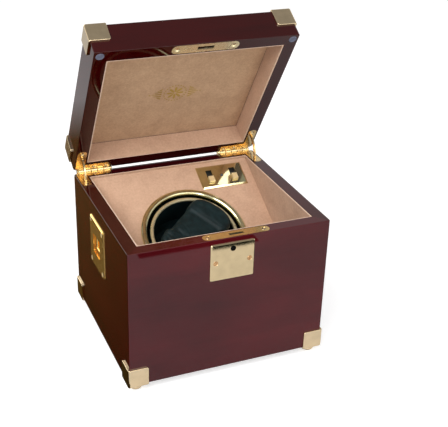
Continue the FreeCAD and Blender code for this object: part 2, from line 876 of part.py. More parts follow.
def winder_pieces():
    down = (0, 0, -1)
    up = (0, 0, 1)
    pieces = {}
    r = ring_outer_radius
    ri = ring_inner_radius
    h = ring_height
    spigot = ri + ring_spigot_wall
    pieces["deck_ring"] = revolve(
        [
            (ri, -deck_thickness),
            (spigot, -deck_thickness),
            (spigot, 0),
            (r, 0),
            (r, h * 0.3),
            (r - 0.5, h * 0.65),
            (r - 1.5, h * 0.92),
            (r - 2.7, h),
            (ri + 1.5, h * 0.9),
            (ri + 0.5, h * 0.6),
            (ri, h * 0.15),
        ]
    )
    wall_out = ri + housing_wall
    housing = ring(wall_out, ri, (0, 0, housing_floor), up, housing_depth - deck_thickness)
    floor = ring(wall_out, bush_radius, (0, 0, housing_under), up, housing_wall)
    flange = ring(
        housing_flange_radius,
        ri,
        (0, 0, -deck_thickness - housing_flange_thickness),
        up,
        housing_flange_thickness,
    )
    posts = []
    for angle in (100, 220, 340):
        a = math.radians(angle)
        x, y = post_circle * math.cos(a), post_circle * math.sin(a)
        posts.append(rod(post_radius, (x, y, plate_top), up, gear_plate_drop))
    pieces["rotor_housing"] = fuse([housing, floor, flange] + posts)
    pieces["rotor_bearing"] = fuse(
        [
            ring(bush_radius, shaft_radius + running_clearance,
                 (0, 0, housing_under - bush_flange_thickness), up,
                 housing_wall + bush_flange_thickness),
            ring(bush_radius + bush_flange, shaft_radius + running_clearance,
                 (0, 0, housing_floor), up, bush_flange_thickness),
        ]
    )

    rotor_floor = -rotor_depth
    ro = rotor_outer_radius
    bevel = rotor_bevel
    ring_low = rim_ring_level - rim_ring_height
    cup = revolve(
        [
            (0, rotor_floor),
            (ro - bevel, rotor_floor),
            (ro, rotor_floor + bevel),
            (ro, ring_low),
            (ro - rotor_wall, ring_low),
            (ro - rotor_wall, rotor_floor + bevel + rotor_wall / 2),
            (ro - bevel - rotor_wall / 2, rotor_floor + rotor_wall),
            (0, rotor_floor + rotor_wall),
        ]
    )
    hub_low = housing_floor + bush_flange_thickness + moving_clearance
    hub = rod(hub_radius, (0, 0, hub_low), up, rotor_floor - hub_low)
    socket = rod(shaft_radius, (0, 0, hub_low), up, rotor_floor - hub_low)
    pieces["rotor_cup"] = cup.fuse(hub).cut(socket).removeSplitter()
    rr = rim_ring_inner_radius
    t = rim_ring_level
    pieces["rotor_rim_ring"] = revolve(
        [
            (rr, ring_low),
            (ro, ring_low),
            (ro, t - 0.8),
            (ro - 0.6, t - 0.2),
            (ro - 1.7, t),
            (rr + 0.6, t - 0.2),
            (rr, t - 0.8),
        ]
    )
    wheel = gear_blank(wheel_teeth, gear_thickness, 0.0)
    wheel.translate(V(0, 0, gear_low))
    web = ring(gear_module * wheel_teeth / 2 - 3.5, hub_radius, (0, 0, gear_low - 1), up, 2.4)
    web_top = ring(gear_module * wheel_teeth / 2 - 3.5, hub_radius, (0, 0, gear_top - 1.4), up, 3)
    shaft = rod(shaft_radius, (0, 0, gear_low), up, rotor_floor - gear_low)
    pieces["rotor_gear"] = wheel.cut(web).cut(web_top).fuse(shaft).removeSplitter()

    # one pinion gap faces a wheel tooth on the line of centres
    pinion = gear_blank(pinion_teeth, gear_thickness, math.pi - math.pi / pinion_teeth)
    pinion.translate(V(centre_distance, 0, gear_low))
    motor_shaft = rod(motor_shaft_radius, (centre_distance, 0, plate_low - 1.0), up,
                      gear_top - plate_low + 1.0)
    pieces["motor_pinion"] = pinion.fuse(motor_shaft).removeSplitter()
    plate = block(-motor_plate_left, centre_distance + motor_plate_right,
                  -motor_plate_half_width, motor_plate_half_width, plate_low, plate_top)
    upright = [e for e in plate.Edges if abs(e.tangentAt(e.FirstParameter).z) > 0.9]
    plate = plate.makeFillet(motor_plate_corner, upright)
    boss = motor_radius * 0.4
    plate = plate.cut(rod(boss, (centre_distance, 0, plate_low - 1), up, 5))
    pieces["motor_plate"] = plate
    can = rod(motor_radius, (centre_distance, 0, plate_low), down, motor_length)
    can_edges = [e for e in can.Edges if e.BoundBox.ZMax < can_low + 1e-6]
    can = can.makeFillet(1.5, can_edges)
    nose = rod(boss - seat_clearance, (centre_distance, 0, plate_low), up, gear_plate_thickness)
    tail = rod(motor_tail_radius, (centre_distance, 0, can_low), down, motor_tail_length)
    bore = rod(motor_shaft_radius + running_clearance, (centre_distance, 0, plate_low - 1.2), up, 6)
    pieces["gear_motor"] = fuse([can, nose, tail]).cut(bore)

    # the cushion fills the cup across and is flattened to a strap's width
    strip = block(
        -cushion_radius - 5,
        cushion_radius + 5,
        -cushion_half_width,
        cushion_half_width,
        -cushion_below,
        cushion_above,
    )
    disc = rod(cushion_radius, (0, 0, -cushion_below), up, cushion_above + cushion_below)
    cushion = strip.common(disc)
    upright = [e for e in cushion.Edges if abs(e.tangentAt(e.FirstParameter).z) > 0.9
               and e.BoundBox.ZMax - e.BoundBox.ZMin > 10]
    cushion = cushion.makeFillet(cushion_corner, upright)
    top = [e for e in cushion.Edges if e.BoundBox.ZMin > cushion_above - 1e-6]
    cushion = cushion.makeFillet(cushion_corner - 1.0, top)
    cushion.rotate(V(0, 0, 0), V(0, 0, 1), cushion_angle)
    pieces["watch_cushion"] = cushion
    stand_low = rotor_floor + rotor_wall
    stand_high = -cushion_below - soft_clearance
    stand = rod(cushion_seat_radius, (0, 0, stand_low), up, stand_high - stand_low)
    well_low = stand_low + cushion_seat_floor
    well = rod(cushion_seat_bore, (0, 0, well_low), up, stand_high - well_low + 1)
    pieces["cushion_seat"] = stand.cut(well)
    return pieces


def switch_pieces():
    pieces = {}
    u = switch_plate_x - ring_centre_x
    v = switch_plate_s - ring_centre_s
    plate = bevelled_plate(
        switch_plate_length, switch_plate_width, switch_plate_thickness, switch_plate_bevel, 0
    )
    sliders = []
    slot_half = switch_slot_length / 2
    for side in (-1, 1):
        x = side * switch_pitch / 2
        slot = block(x - switch_slot_width / 2, x + switch_slot_width / 2,
                     -slot_half, slot_half, -1, 5)
        plate = plate.cut(slot)
        c = moving_clearance
        width = switch_slot_width - 2 * c
        y0 = -slot_half + c
        top = switch_plate_thickness + slider_height
        knob = block(x - width / 2, x + width / 2, y0, y0 + slider_length, -slider_play, top)
        for rib in range(3):
            at = y0 + slider_length * (rib + 1) / 4
            notch = prism(
                [(x - width, at - 0.5, top + 0.1), (x - width, at + 0.5, top + 0.1),
                 (x - width, at, top - 0.8)],
                (2 * width, 0, 0),
            )
            knob = knob.cut(notch)
        reach = width / 2 + slider_flange
        foot = block(x - reach, x + reach, y0 - slider_play, y0 + slider_length + slider_play,
                     -slider_flange - slider_play, -slider_play)
        sliders.append(moved(fuse([knob, foot]), u, v, 0))
    plate = plate.cut(rod(led_radius + seat_clearance, (0, 0, -1), (0, 0, 1), 6))
    pieces["switch_plate"] = moved(plate, u, v, 0)
    pieces["sliders"] = sliders
    dome_z = switch_plate_thickness + led_proud - led_radius
    lamp = rod(led_radius, (0, 0, -led_stem), (0, 0, 1), led_stem + dome_z)
    dome = Part.makeSphere(led_radius, V(0, 0, dome_z))
    collar = rod(led_radius + led_collar, (0, 0, -led_stem), (0, 0, 1), 1.0)
    pieces["led"] = moved(fuse([lamp, dome, collar]), u, v, 0)
    body_top = -slider_flange - 2 * slider_play
    body_low = body_top - switch_body_height
    half_length = switch_body_length / 2
    blocks = []
    for side in (-1, 1):
        x = side * switch_pitch / 2
        half = switch_body_width / 2
        blocks.append(block(x - half, x + half, -half_length, half_length, body_low, body_top))
    carrier = block(-switch_board_length / 2, switch_board_length / 2, -half_length, half_length,
                    body_low - switch_board_thickness, body_low)
    led_post = rod(led_radius + led_collar, (0, 0, body_low), (0, 0, 1), -led_stem - body_low)
    pieces["switch_block"] = moved(fuse(blocks + [carrier, led_post]), u, v, 0)
    hole_x, hole_y = switch_plate_length / 2 - 3.0, switch_plate_width / 2 - 2.4
    pieces["hole"] = moved(
        block(-hole_x, hole_x, -hole_y, hole_y, -deck_thickness - 1, 1), u, v, 0
    )
    return pieces


# ---- build the base ----
base_wood = rounded_case(base_bottom, base_top, "top")
base_walls = mitred_walls(base_wood, base_bottom, base_top)
hinge = build_hinge()
lock, lock_screws = lock_pieces()
base_strike, base_strike_pocket, base_strike_screws = strike(
    base_top, -1, base_slot_length, base_slot_width
)
handle, bail, handle_pocket, handle_screws = handle_pieces()

cap = corner_cap(base_bottom, 1, base_wood)
foot_x, foot_y = half_x - foot_inset, half_y - foot_inset
stud_hole = rod(
    foot_stud_radius + seat_clearance,
    (foot_x, -foot_y, 0),
    (0, 0, 1),
    foot_height + foot_stud_length + seat_clearance,
)
cap = cap.cut(stud_hole)

base_tools = four_corners(stud_hole)
groove_base, mouth_base = quadrant_slot(-1)
for tool in (leaf_pocket(-1), groove_base, mouth_base, barrel_groove(), handle_pocket):
    base_tools += [tool, mirrored(tool)]
base_tools += [base_strike_pocket, lock["pocket"], lock["bolt_way"]]
base_screws = list(lock_screws) + list(base_strike_screws)
for x, y in hinge_screw_places():
    head = (x, y, base_top)
    hinge["base"] = hinge["base"].cut(screw_hole(head, (0, 0, -1)))
    base_screws += [(head, (0, 0, -1)), ((-x, y, base_top), (0, 0, -1))]
for head, into in handle_screws:
    base_screws += [(head, into), ((-head[0], head[1], head[2]), (1, 0, 0))]
base_tools += [screw_hole(head, into) for head, into in base_screws]
jack_hole = rod(
    jack_radius + seat_clearance, (jack_x, lined_y - 1, jack_height), (0, 1, 0), wall + lining + 2
)
base_tools.append(jack_hole)
cut_all(base_walls, base_tools)
for side, solid in base_walls.items():
    save("base_%s_wall" % side, solid)
save("base_floor", block(-inner_x, inner_x, -inner_y, inner_y, base_bottom, floor_top))

lining_top = base_top - 0.3
base_lining = {
    "front": block(-inner_x, inner_x, -inner_y, -lined_y, floor_top, lining_top),
    "back": block(-inner_x, inner_x, lined_y, inner_y, floor_top, lining_top).cut(jack_hole),
    "left": block(-inner_x, -lined_x, -lined_y, lined_y, floor_top, lining_top),
    "right": block(lined_x, inner_x, -lined_y, lined_y, floor_top, lining_top),
}
for side, solid in base_lining.items():
    save("base_lining_%s" % side, solid)

# ---- the inclined deck and what hangs from it ----
winder = winder_pieces()
switches = switch_pieces()
room = block(-lined_x, lined_x, -lined_y, lined_y, floor_top, base_top)
deck_slab = on_deck(block(-box_width, box_width, -box_depth, box_depth, -deck_thickness, 0))
deck_hole = on_deck(
    rod(ring_inner_radius + ring_spigot_wall + seat_clearance,
        (0, 0, -deck_thickness - 1), (0, 0, 1), deck_thickness + 2)
)
deck = deck_slab.common(room).cut(deck_hole).cut(on_deck(switches["hole"]))
save("winder_deck", deck)
batten_slab = on_deck(
    block(-box_width, box_width, -box_depth, box_depth,
          -deck_thickness - batten_size, -deck_thickness)
)
batten_room = block(lined_x - batten_size, lined_x, -lined_y, lined_y, floor_top, base_top)
batten_right = batten_slab.common(batten_room)
save("deck_battens", [batten_right, mirrored(batten_right)])
for name in ("deck_ring", "rotor_housing", "rotor_bearing", "rotor_cup", "rotor_rim_ring",
             "rotor_gear", "motor_pinion", "motor_plate", "gear_motor", "watch_cushion",
             "cushion_seat"):
    save(name, on_deck(winder[name]))
save("switch_plate", on_deck(switches["switch_plate"]))
save("switch_block", on_deck(switches["switch_block"]))
save("indicator_lamp", on_deck(switches["led"]))
save("timer_slider", on_deck(switches["sliders"][0]))
save("direction_slider", on_deck(switches["sliders"][1]))

# ---- electrics on the floor ----
board_z = floor_top + board_standoff
board_x0 = jack_x - board_length * 0.4
board_y1 = lined_y - board_back_margin
board = block(board_x0, board_x0 + board_length, board_y1 - board_width, board_y1,
              board_z, board_z + board_thickness)
board_bits = [board]
for dx in (0.08, 0.92):
    for dy in (0.1, 0.9):
        board_bits.append(
            rod(board_post_radius,
                (board_x0 + dx * board_length, board_y1 - dy * board_width, floor_top),
                (0, 0, 1), board_standoff)
        )
chip_z = board_z + board_thickness
chip_x = board_x0 + board_length * 0.35
chip_y = board_y1 - board_width * 0.55
board_bits.append(block(chip_x, chip_x + chip_length, chip_y - chip_width / 2,
                        chip_y + chip_width / 2, chip_z, chip_z + chip_height))
capacitor = (board_x0 + board_length * 0.8, board_y1 - board_width * 0.3, chip_z)
board_bits.append(rod(capacitor_radius, capacitor, (0, 0, 1), capacitor_height))
save("control_board", fuse(board_bits))
jack_half = jack_body_size / 2
jack_body = block(jack_x - jack_half, jack_x + jack_half, lined_y - jack_body_depth, lined_y,
                  jack_height - jack_half, jack_height + jack_half)
jack = fuse(
    [
        jack_body,
        rod(jack_radius, (jack_x, lined_y, jack_height), (0, 1, 0), half_y - lined_y),
        rod(jack_rim_radius, (jack_x, half_y, jack_height), (0, 1, 0), jack_rim_thickness),
    ]
)
jack_bore = (jack_x, half_y - jack_bore_depth, jack_height)
jack = jack.cut(rod(jack_bore_radius, jack_bore, (0, 1, 0), jack_bore_depth + 5))
jack = jack.fuse(rod(jack_pin_radius, jack_bore, (0, 1, 0), jack_bore_depth - 1))
save("power_jack", jack)

# ---- lock, strike and base screws ----
save("lock_plate", lock["plate"])
save("lock_body", lock["body"])
save("lock_barrel", lock["barrel"])
save("lock_bolt", lock["bolt"])
save("base_strike_plate", base_strike)
save("base_screws", [screw(head, into) for head, into in base_screws])

# ---- side handles, caps, feet ----
save("right_handle_plate", handle)
save("left_handle_plate", mirrored(handle))
save("right_handle_bail", bail)
save("left_handle_bail", mirrored(bail))
save("base_corner_caps", four_corners(cap))
save("feet", [bun_foot(sx * foot_x, sy * foot_y) for sy in (-1, 1) for sx in (1, -1)])

# ---- hinges at the base ----
save("right_hinge_base_leaf", hinge["base"])
save("left_hinge_base_leaf", mirrored(hinge["base"]))
save("right_hinge_pin", hinge["pin"])
save("left_hinge_pin", mirrored(hinge["pin"]))
stay = quadrant()
save("right_quadrant_stay", stay)
save("left_quadrant_stay", mirrored(stay))

# ---- build the lid closed, then swing it to its stop ----
lid_wood = rounded_case(lid_bottom, lid_top, "bottom")
lid_rails = mitred_walls(lid_wood, lid_bottom, lid_top)
lid_strike, lid_strike_pocket, lid_strike_screws = strike(
    lid_bottom, 1, lid_slot_length, lid_slot_width
)
lid_screws = list(lid_strike_screws)
for x, y in hinge_screw_places():
    head = (x, y, lid_bottom)
    hinge["lid"] = hinge["lid"].cut(screw_hole(head, (0, 0, 1)))
    lid_screws += [(head, (0, 0, 1)), ((-x, y, lid_bottom), (0, 0, 1))]
groove_lid, mouth_lid = quadrant_slot(1)
lid_tools = [lid_strike_pocket]
for tool in (leaf_pocket(1), groove_lid, mouth_lid, barrel_groove()):
    lid_tools += [tool, mirrored(tool)]
lid_tools.append(
    block(
        strike_offset - lid_slot_length / 2,
        strike_offset + lid_slot_length / 2,
        -rim_y - lid_slot_width / 2,
        -rim_y + lid_slot_width / 2,
        lid_bottom,
        lid_bottom + bolt_travel + 3.0,
    )
)
bumper_x, bumper_y = half_x - bumper_inset, -half_y + bumper_inset
bumper = revolve(
    [
        (0, bumper_dish_depth),
        (bumper_dish_radius - bumper_bevel, bumper_dish_depth),
        (bumper_dish_radius, 0),
        (bumper_radius - bumper_bevel, 0),
        (bumper_radius, bumper_bevel),
        (bumper_radius, bumper_proud + bumper_depth),
        (0, bumper_proud + bumper_depth),
    ],
    (bumper_x, bumper_y, lid_bottom - bumper_proud),
)
bumper_hole = rod(
    bumper_radius + seat_clearance, (bumper_x, bumper_y, lid_bottom - 1), (0, 0, 1),
    1 + bumper_depth,
)
lid_tools += [bumper_hole, mirrored(bumper_hole)]
lid_tools += [screw_hole(head, into) for head, into in lid_screws]
cut_all(lid_rails, lid_tools)
for side, solid in lid_rails.items():
    save("lid_%s_rail" % side, swing_open(solid))
lid_panel = lid_wood.common(
    block(-inner_x, inner_x, -inner_y, inner_y, lid_top - lid_panel_thickness, lid_top + 1)
)
save("lid_top_panel", swing_open(lid_panel))
pad_low = lid_top - lid_panel_thickness - lid_pad_thickness
lid_lining_low = lid_bottom + 0.3
boards = [
    block(-inner_x, inner_x, -inner_y, -lined_y, lid_lining_low, pad_low),
    block(-inner_x, inner_x, lined_y, inner_y, lid_lining_low, pad_low),
    block(-inner_x, -lined_x, -lined_y, lined_y, lid_lining_low, pad_low),
    block(lined_x, inner_x, -lined_y, lined_y, lid_lining_low, pad_low),
]
save("lid_lining_sides", [swing_open(b) for b in boards])
pad = block(-inner_x, inner_x, -inner_y, inner_y, pad_low, lid_top - lid_panel_thickness)
save("lid_lining_pad", swing_open(pad))
save("lid_bumpers", [swing_open(bumper), swing_open(mirrored(bumper))])
save("lid_strike_plate", swing_open(lid_strike))
save("lid_screws", [swing_open(screw(head, into)) for head, into in lid_screws])
lid_cap = corner_cap(lid_top, -1, lid_wood)
save("lid_corner_caps", [swing_open(c) for c in four_corners(lid_cap)])
save("right_hinge_lid_leaf", swing_open(hinge["lid"]))
save("left_hinge_lid_leaf", swing_open(mirrored(hinge["lid"])))

os.makedirs("parts", exist_ok=True)
for name, shape in parts.items():
    shape.exportStep("parts/%s.step" % name)
print(len(parts), "nodes; bolt travel", round(bolt_travel, 3))
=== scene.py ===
import json
import math
import random

import bmesh
import bpy
import numpy as np
from mathutils import Matrix, Vector, noise


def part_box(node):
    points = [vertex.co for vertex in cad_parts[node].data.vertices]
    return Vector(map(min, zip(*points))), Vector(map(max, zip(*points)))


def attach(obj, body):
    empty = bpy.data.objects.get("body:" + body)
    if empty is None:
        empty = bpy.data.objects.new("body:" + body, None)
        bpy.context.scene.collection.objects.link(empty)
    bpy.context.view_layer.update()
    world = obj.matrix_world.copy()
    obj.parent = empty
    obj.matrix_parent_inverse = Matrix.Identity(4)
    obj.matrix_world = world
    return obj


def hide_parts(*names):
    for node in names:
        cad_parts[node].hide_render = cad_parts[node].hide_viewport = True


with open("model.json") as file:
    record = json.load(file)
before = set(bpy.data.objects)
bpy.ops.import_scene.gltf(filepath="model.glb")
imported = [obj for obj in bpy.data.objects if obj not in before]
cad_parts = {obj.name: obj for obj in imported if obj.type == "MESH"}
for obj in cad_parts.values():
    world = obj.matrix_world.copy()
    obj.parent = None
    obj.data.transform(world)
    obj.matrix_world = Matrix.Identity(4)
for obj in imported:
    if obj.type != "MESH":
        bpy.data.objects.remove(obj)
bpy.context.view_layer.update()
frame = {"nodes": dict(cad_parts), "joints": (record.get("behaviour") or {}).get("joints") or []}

mm = 0.001
scene = bpy.context.scene
print("frame loaded:", len(frame["nodes"]), "nodes")

joints = {j["name"]: j for j in frame["joints"]}
lidPin = Vector(joints["lid_hinge"]["pos_m"])
lidOpen = math.radians(-joints["lid_hinge"]["range_deg"][0])
rotorCentre = Vector(joints["rotor_spin"]["pos_m"])
rotorAxis = Vector(joints["rotor_spin"]["axis"])
deckUp = Vector(joints["timer_slide"]["axis"])     # up the deck's slope
deckRight = deckUp.cross(rotorAxis)
# from the deck's own axes (right, up the slope, off the deck; from the rotor's centre) to the scene's
deckTurn = Matrix((deckRight, deckUp, rotorAxis)).transposed().to_4x4()
deckFrame = Matrix.Translation(rotorCentre) @ deckTurn
# from a place on the shut lid to the same place on the open lid
lidFrame = Matrix.Translation(lidPin) @ Matrix.Rotation(-lidOpen, 4, "X") @ Matrix.Translation(-lidPin)


# the camera
view = {"position": (-0.2873, -0.7170, 0.5147), "azimuth": 23.77, "elevation": 26.87,
        "roll": 2.02, "lens": 73.66, "sensor": 36, "farEnd": 50}


def addCamera():
    az, el = math.radians(view["azimuth"]), math.radians(view["elevation"])
    ahead = Vector((math.sin(az) * math.cos(el), math.cos(az) * math.cos(el), -math.sin(el)))
    right = Vector((math.cos(az), -math.sin(az), 0))
    right.rotate(Matrix.Rotation(-math.radians(view["roll"]), 3, ahead))
    up = right.cross(ahead)
    data = bpy.data.cameras.new("camera")
    data.sensor_width = view["sensor"]
    data.lens = view["lens"]
    data.clip_end = view["farEnd"]
    camera = bpy.data.objects.new("camera", data)
    scene.collection.objects.link(camera)
    turn = Matrix((right, up, -ahead)).transposed().to_4x4()
    camera.matrix_world = Matrix.Translation(Vector(view["position"])) @ turn
    scene.camera = camera


addCamera()
print("camera set")


# helpers for shader trees
def newGroup(name, inputs, outputs):
    tree = bpy.data.node_groups.new(name, "ShaderNodeTree")
    for label, kind, value in inputs:
        socket = tree.interface.new_socket(name=label, in_out="INPUT", socket_type=kind)
        if value is not None:
            socket.default_value = value
    for label, kind in outputs:
        tree.interface.new_socket(name=label, in_out="OUTPUT", socket_type=kind)
    return tree, tree.nodes.new("NodeGroupInput"), tree.nodes.new("NodeGroupOutput")


def put(tree, kind, links=None, **values):    # links fill inputs, values set properties or inputs
    node = tree.nodes.new(kind)
    for key, value in values.items():
        if hasattr(node, key):
            setattr(node, key, value)
        else:
            node.inputs[key.replace("_", " ")].default_value = value
    for key, source in (links or {}).items():
        tree.links.new(source, node.inputs[key])
    return node


def ramp(tree, source, stops):
    node = tree.nodes.new("ShaderNodeValToRGB")
    band = node.color_ramp
    while len(band.elements) < len(stops):
        band.elements.new(0.5)
    for element, (place, colour) in zip(band.elements, stops):
        element.position = place
        element.color = (*colour[:3], 1)
    tree.links.new(source, node.inputs[0])
    return node.outputs[0]


def grey(v):
    return (v, v, v)


def mixColour(tree, factor, a, b, blend="MIX"):
    node = tree.nodes.new("ShaderNodeMix")
    node.data_type = "RGBA"
    node.blend_type = blend
    for index, value in ((0, factor), (6, a), (7, b)):
        if isinstance(value, bpy.types.NodeSocket):
            tree.links.new(value, node.inputs[index])
        elif index == 0:
            node.inputs[index].default_value = value
        else:
            node.inputs[index].default_value = (*value[:3], 1)
    return node.outputs[2]


def maths(tree, operation, a, b=0.0, clamp=False):
    node = tree.nodes.new("ShaderNodeMath")
    node.operation = operation
    node.use_clamp = clamp
    for index, value in ((0, a), (1, b)):
        if isinstance(value, bpy.types.NodeSocket):
            tree.links.new(value, node.inputs[index])
        else:
            node.inputs[index].default_value = value
    return node.outputs[0]


# shader groups that several finishes share
mahogany = {"ribbonScale": (7, 30, 30), "poreScale": (40, 900, 900), "cloudScale": 14.0,
            "cloudShade": 0.78, "poreShade": 0.55, "poreStrength": 0.12}


def buildWoodGrain():    # ribbon figure and pores of stained mahogany; the grain runs along X
    tree, start, end = newGroup(
        "mahoganyGrain",
        [("Vector", "NodeSocketVector", None), ("Light", "NodeSocketColor", (0.06, 0.006, 0.005, 1)),
         ("Dark", "NodeSocketColor", (0.03, 0.003, 0.003, 1))],
        [("Color", "NodeSocketColor")],
    )
    vector = start.outputs["Vector"]
    stretch = put(tree, "ShaderNodeMapping", {"Vector": vector}, Scale=mahogany["ribbonScale"])
    ribbon = put(tree, "ShaderNodeTexNoise", {"Vector": stretch.outputs[0]}, Scale=1.0,
                 Detail=3.0, Roughness=0.5, Distortion=0.8)
    fine = put(tree, "ShaderNodeMapping", {"Vector": vector}, Scale=mahogany["poreScale"])
    pores = put(tree, "ShaderNodeTexNoise", {"Vector": fine.outputs[0]}, Scale=1.0, Detail=2.0)
    broad = put(tree, "ShaderNodeTexNoise", {"Vector": vector}, Scale=mahogany["cloudScale"],
                Detail=3.0)
    bands = ramp(tree, ribbon.outputs[0], [(0.3, grey(0)), (0.7, grey(1))])
    mix = mixColour(tree, bands, start.outputs["Dark"], start.outputs["Light"])
    cloudy = ramp(tree, broad.outputs[0], [(0.3, grey(mahogany["cloudShade"])), (0.7, grey(1))])
    mix = mixColour(tree, 1.0, mix, cloudy, "MULTIPLY")
    dots = ramp(tree, pores.outputs[0], [(0.34, grey(mahogany["poreShade"])), (0.5, grey(1))])
    mix = mixColour(tree, mahogany["poreStrength"], mix, dots, "MULTIPLY")
    tree.links.new(mix, end.inputs["Color"])
    return tree


nap = {"speckScale": 480.0, "fibreScale": 1800.0, "grit": 0.9, "speckHeight": 0.6}


def buildNap():    # brushed suede: soft clouds where the nap lies the other way, and fibres
    tree, start, end = newGroup(
        "suedeNap",
        [("Vector", "NodeSocketVector", None), ("Cloud Size", "NodeSocketFloat", 60.0),
         ("Cloud Strength", "NodeSocketFloat", 1.0)],
        [("Tone", "NodeSocketFloat"), ("Height", "NodeSocketFloat")],
    )
    vector = start.outputs["Vector"]
    cloud = put(tree, "ShaderNodeTexNoise",
                {"Vector": vector, "Scale": start.outputs["Cloud Size"]},
                Detail=5.0, Roughness=0.62, Distortion=0.5)
    speck = put(tree, "ShaderNodeTexNoise", {"Vector": vector}, Scale=nap["speckScale"],
                Detail=3.0, Roughness=0.75)
    fibre = put(tree, "ShaderNodeTexNoise", {"Vector": vector}, Scale=nap["fibreScale"],
                Detail=3.0, Roughness=0.7)
    soft = maths(tree, "SUBTRACT", cloud.outputs[0], 0.5)
    soft = maths(tree, "MULTIPLY", soft, start.outputs["Cloud Strength"])
    grit = maths(tree, "MULTIPLY", maths(tree, "SUBTRACT", speck.outputs[0], 0.5), nap["grit"])
    tone = maths(tree, "ADD", maths(tree, "ADD", soft, grit), 0.5, clamp=True)
    coarse = maths(tree, "MULTIPLY", speck.outputs[0], nap["speckHeight"])
    height = maths(tree, "ADD", fibre.outputs[0], coarse)
    tree.links.new(tone, end.inputs["Tone"])
    tree.links.new(height, end.inputs["Height"])
    return tree


handling = {"smearScale": 90.0, "rubScale": (2600, 240, 2600), "rubTurn": (0.3, 0.5, 0.7)}


def buildHandling():    # faint smears on polish: a change of roughness, and hairline rub marks
    tree, start, end = newGroup(
        "handlingMarks",
        [("Vector", "NodeSocketVector", None), ("Low", "NodeSocketFloat", 0.05),
         ("High", "NodeSocketFloat", 0.15)],
        [("Roughness", "NodeSocketFloat"), ("Height", "NodeSocketFloat")],
    )
    vector = start.outputs["Vector"]
    smear = put(tree, "ShaderNodeTexNoise", {"Vector": vector}, Scale=handling["smearScale"],
                Detail=4.0, Roughness=0.65, Distortion=0.8)
    rub = put(tree, "ShaderNodeMapping", {"Vector": vector}, Scale=handling["rubScale"],
              Rotation=handling["rubTurn"])
    lines = put(tree, "ShaderNodeTexNoise", {"Vector": rub.outputs[0]}, Scale=1.0, Detail=2.0)
    mask = ramp(tree, smear.outputs[0], [(0.35, grey(0)), (0.7, grey(1))])
    span = maths(tree, "SUBTRACT", start.outputs["High"], start.outputs["Low"])
    rough = maths(tree, "ADD", start.outputs["Low"], maths(tree, "MULTIPLY", span, mask))
    tree.links.new(rough, end.inputs["Roughness"])
    tree.links.new(lines.outputs[0], end.inputs["Height"])
    return tree


woodGrain, suedeNap, handlingMarks = buildWoodGrain(), buildNap(), buildHandling()


def addGroup(tree, group, vector, **values):
    node = tree.nodes.new("ShaderNodeGroup")
    node.node_tree = group
    tree.links.new(vector, node.inputs["Vector"])
    for key, value in values.items():
        node.inputs[key.replace("_", " ")].default_value = value
    return node


def newMaterial(name, **sockets):    # the Principled shader's own sockets hold what is constant
    material = bpy.data.materials.new(name)
    material.use_nodes = True
    tree = material.node_tree
    shader = tree.nodes["Principled BSDF"]
    for key, value in sockets.items():
        shader.inputs[key.replace("_", " ")].default_value = value
    coords = tree.nodes.new("ShaderNodeTexCoord")
    return material, tree, shader, coords.outputs["Object"]


def bump(tree, shader, height, strength, distance):
    node = put(tree, "ShaderNodeBump", {"Height": height}, Strength=strength, Distance=distance)
    tree.links.new(node.outputs[0], shader.inputs["Normal"])


# the finishes
# tones of the stain, and the clear coat over it; the front, side and lid sets are lighter and darker
# copies of one stain, painted light and shade: the front walls lightest, the side walls and the lid
# darker
lacquer = {"frontLight": (0.074, 0.0040, 0.0066, 1), "frontDark": (0.048, 0.0024, 0.0044, 1),
           "sideLight": (0.046, 0.0018, 0.0018, 1), "sideDark": (0.034, 0.0012, 0.0012, 1),
           "lidLight": (0.042, 0.0012, 0.0012, 1), "lidDark": (0.028, 0.0008, 0.0008, 1),
           "roughness": 0.5, "coatRoughness": 0.025, "ior": 1.44}


def makeLacquer(name, turn, half):    # turn lays the grain along the piece
    material, tree, shader, vector = newMaterial(
        name, Coat_Weight=1.0, Coat_Roughness=lacquer["coatRoughness"], Coat_IOR=lacquer["ior"],
        Specular_IOR_Level=0.0, Roughness=lacquer["roughness"])
    turned = put(tree, "ShaderNodeMapping", {"Vector": vector}, Rotation=turn)
    # the front, side or lid copy of the stain, lighter or darker as painted shade
    grain = addGroup(tree, woodGrain, turned.outputs[0], Light=lacquer[half + "Light"],
                     Dark=lacquer[half + "Dark"])
    tree.links.new(grain.outputs["Color"], shader.inputs["Base Color"])
    return material


# the deck and the linings are one suede in a lighter and a darker copy, painted light and shade: the
# base linings get the darker copy, the deck and the lid lining's sides the lighter one
suedeLooks = {
    "suedeLitCopy": {"pale": (0.66, 0.430, 0.295), "deep": (0.48, 0.295, 0.195), "clouds": 45.0,
                  "strength": 0.7},
    "suedeLid": {"pale": (0.60, 0.39, 0.235), "deep": (0.40, 0.245, 0.135), "clouds": 60.0,
                 "strength": 0.8},
    "suedeShadedCopy": {"pale": (0.54, 0.345, 0.230), "deep": (0.37, 0.225, 0.145), "clouds": 55.0,
                  "strength": 0.9},
    "suedeEdge": {"pale": (0.78, 0.60, 0.47), "deep": (0.62, 0.43, 0.31), "clouds": 90.0,
                  "strength": 0.5},
}


def makeSuede(name, pale, deep, clouds, strength):
    material, tree, shader, vector = newMaterial(
        name, Roughness=0.92, Sheen_Weight=0.3, Sheen_Roughness=0.55, Specular_IOR_Level=0.2,
        Sheen_Tint=(0.95, 0.82, 0.72, 1))
    brushed = addGroup(tree, suedeNap, vector, Cloud_Size=clouds, Cloud_Strength=strength)
    tone = ramp(tree, brushed.outputs["Tone"], [(0.2, deep), (0.8, pale)])
    tree.links.new(tone, shader.inputs["Base Color"])
    bump(tree, shader, brushed.outputs["Height"], 0.35, 0.0004)
    return material


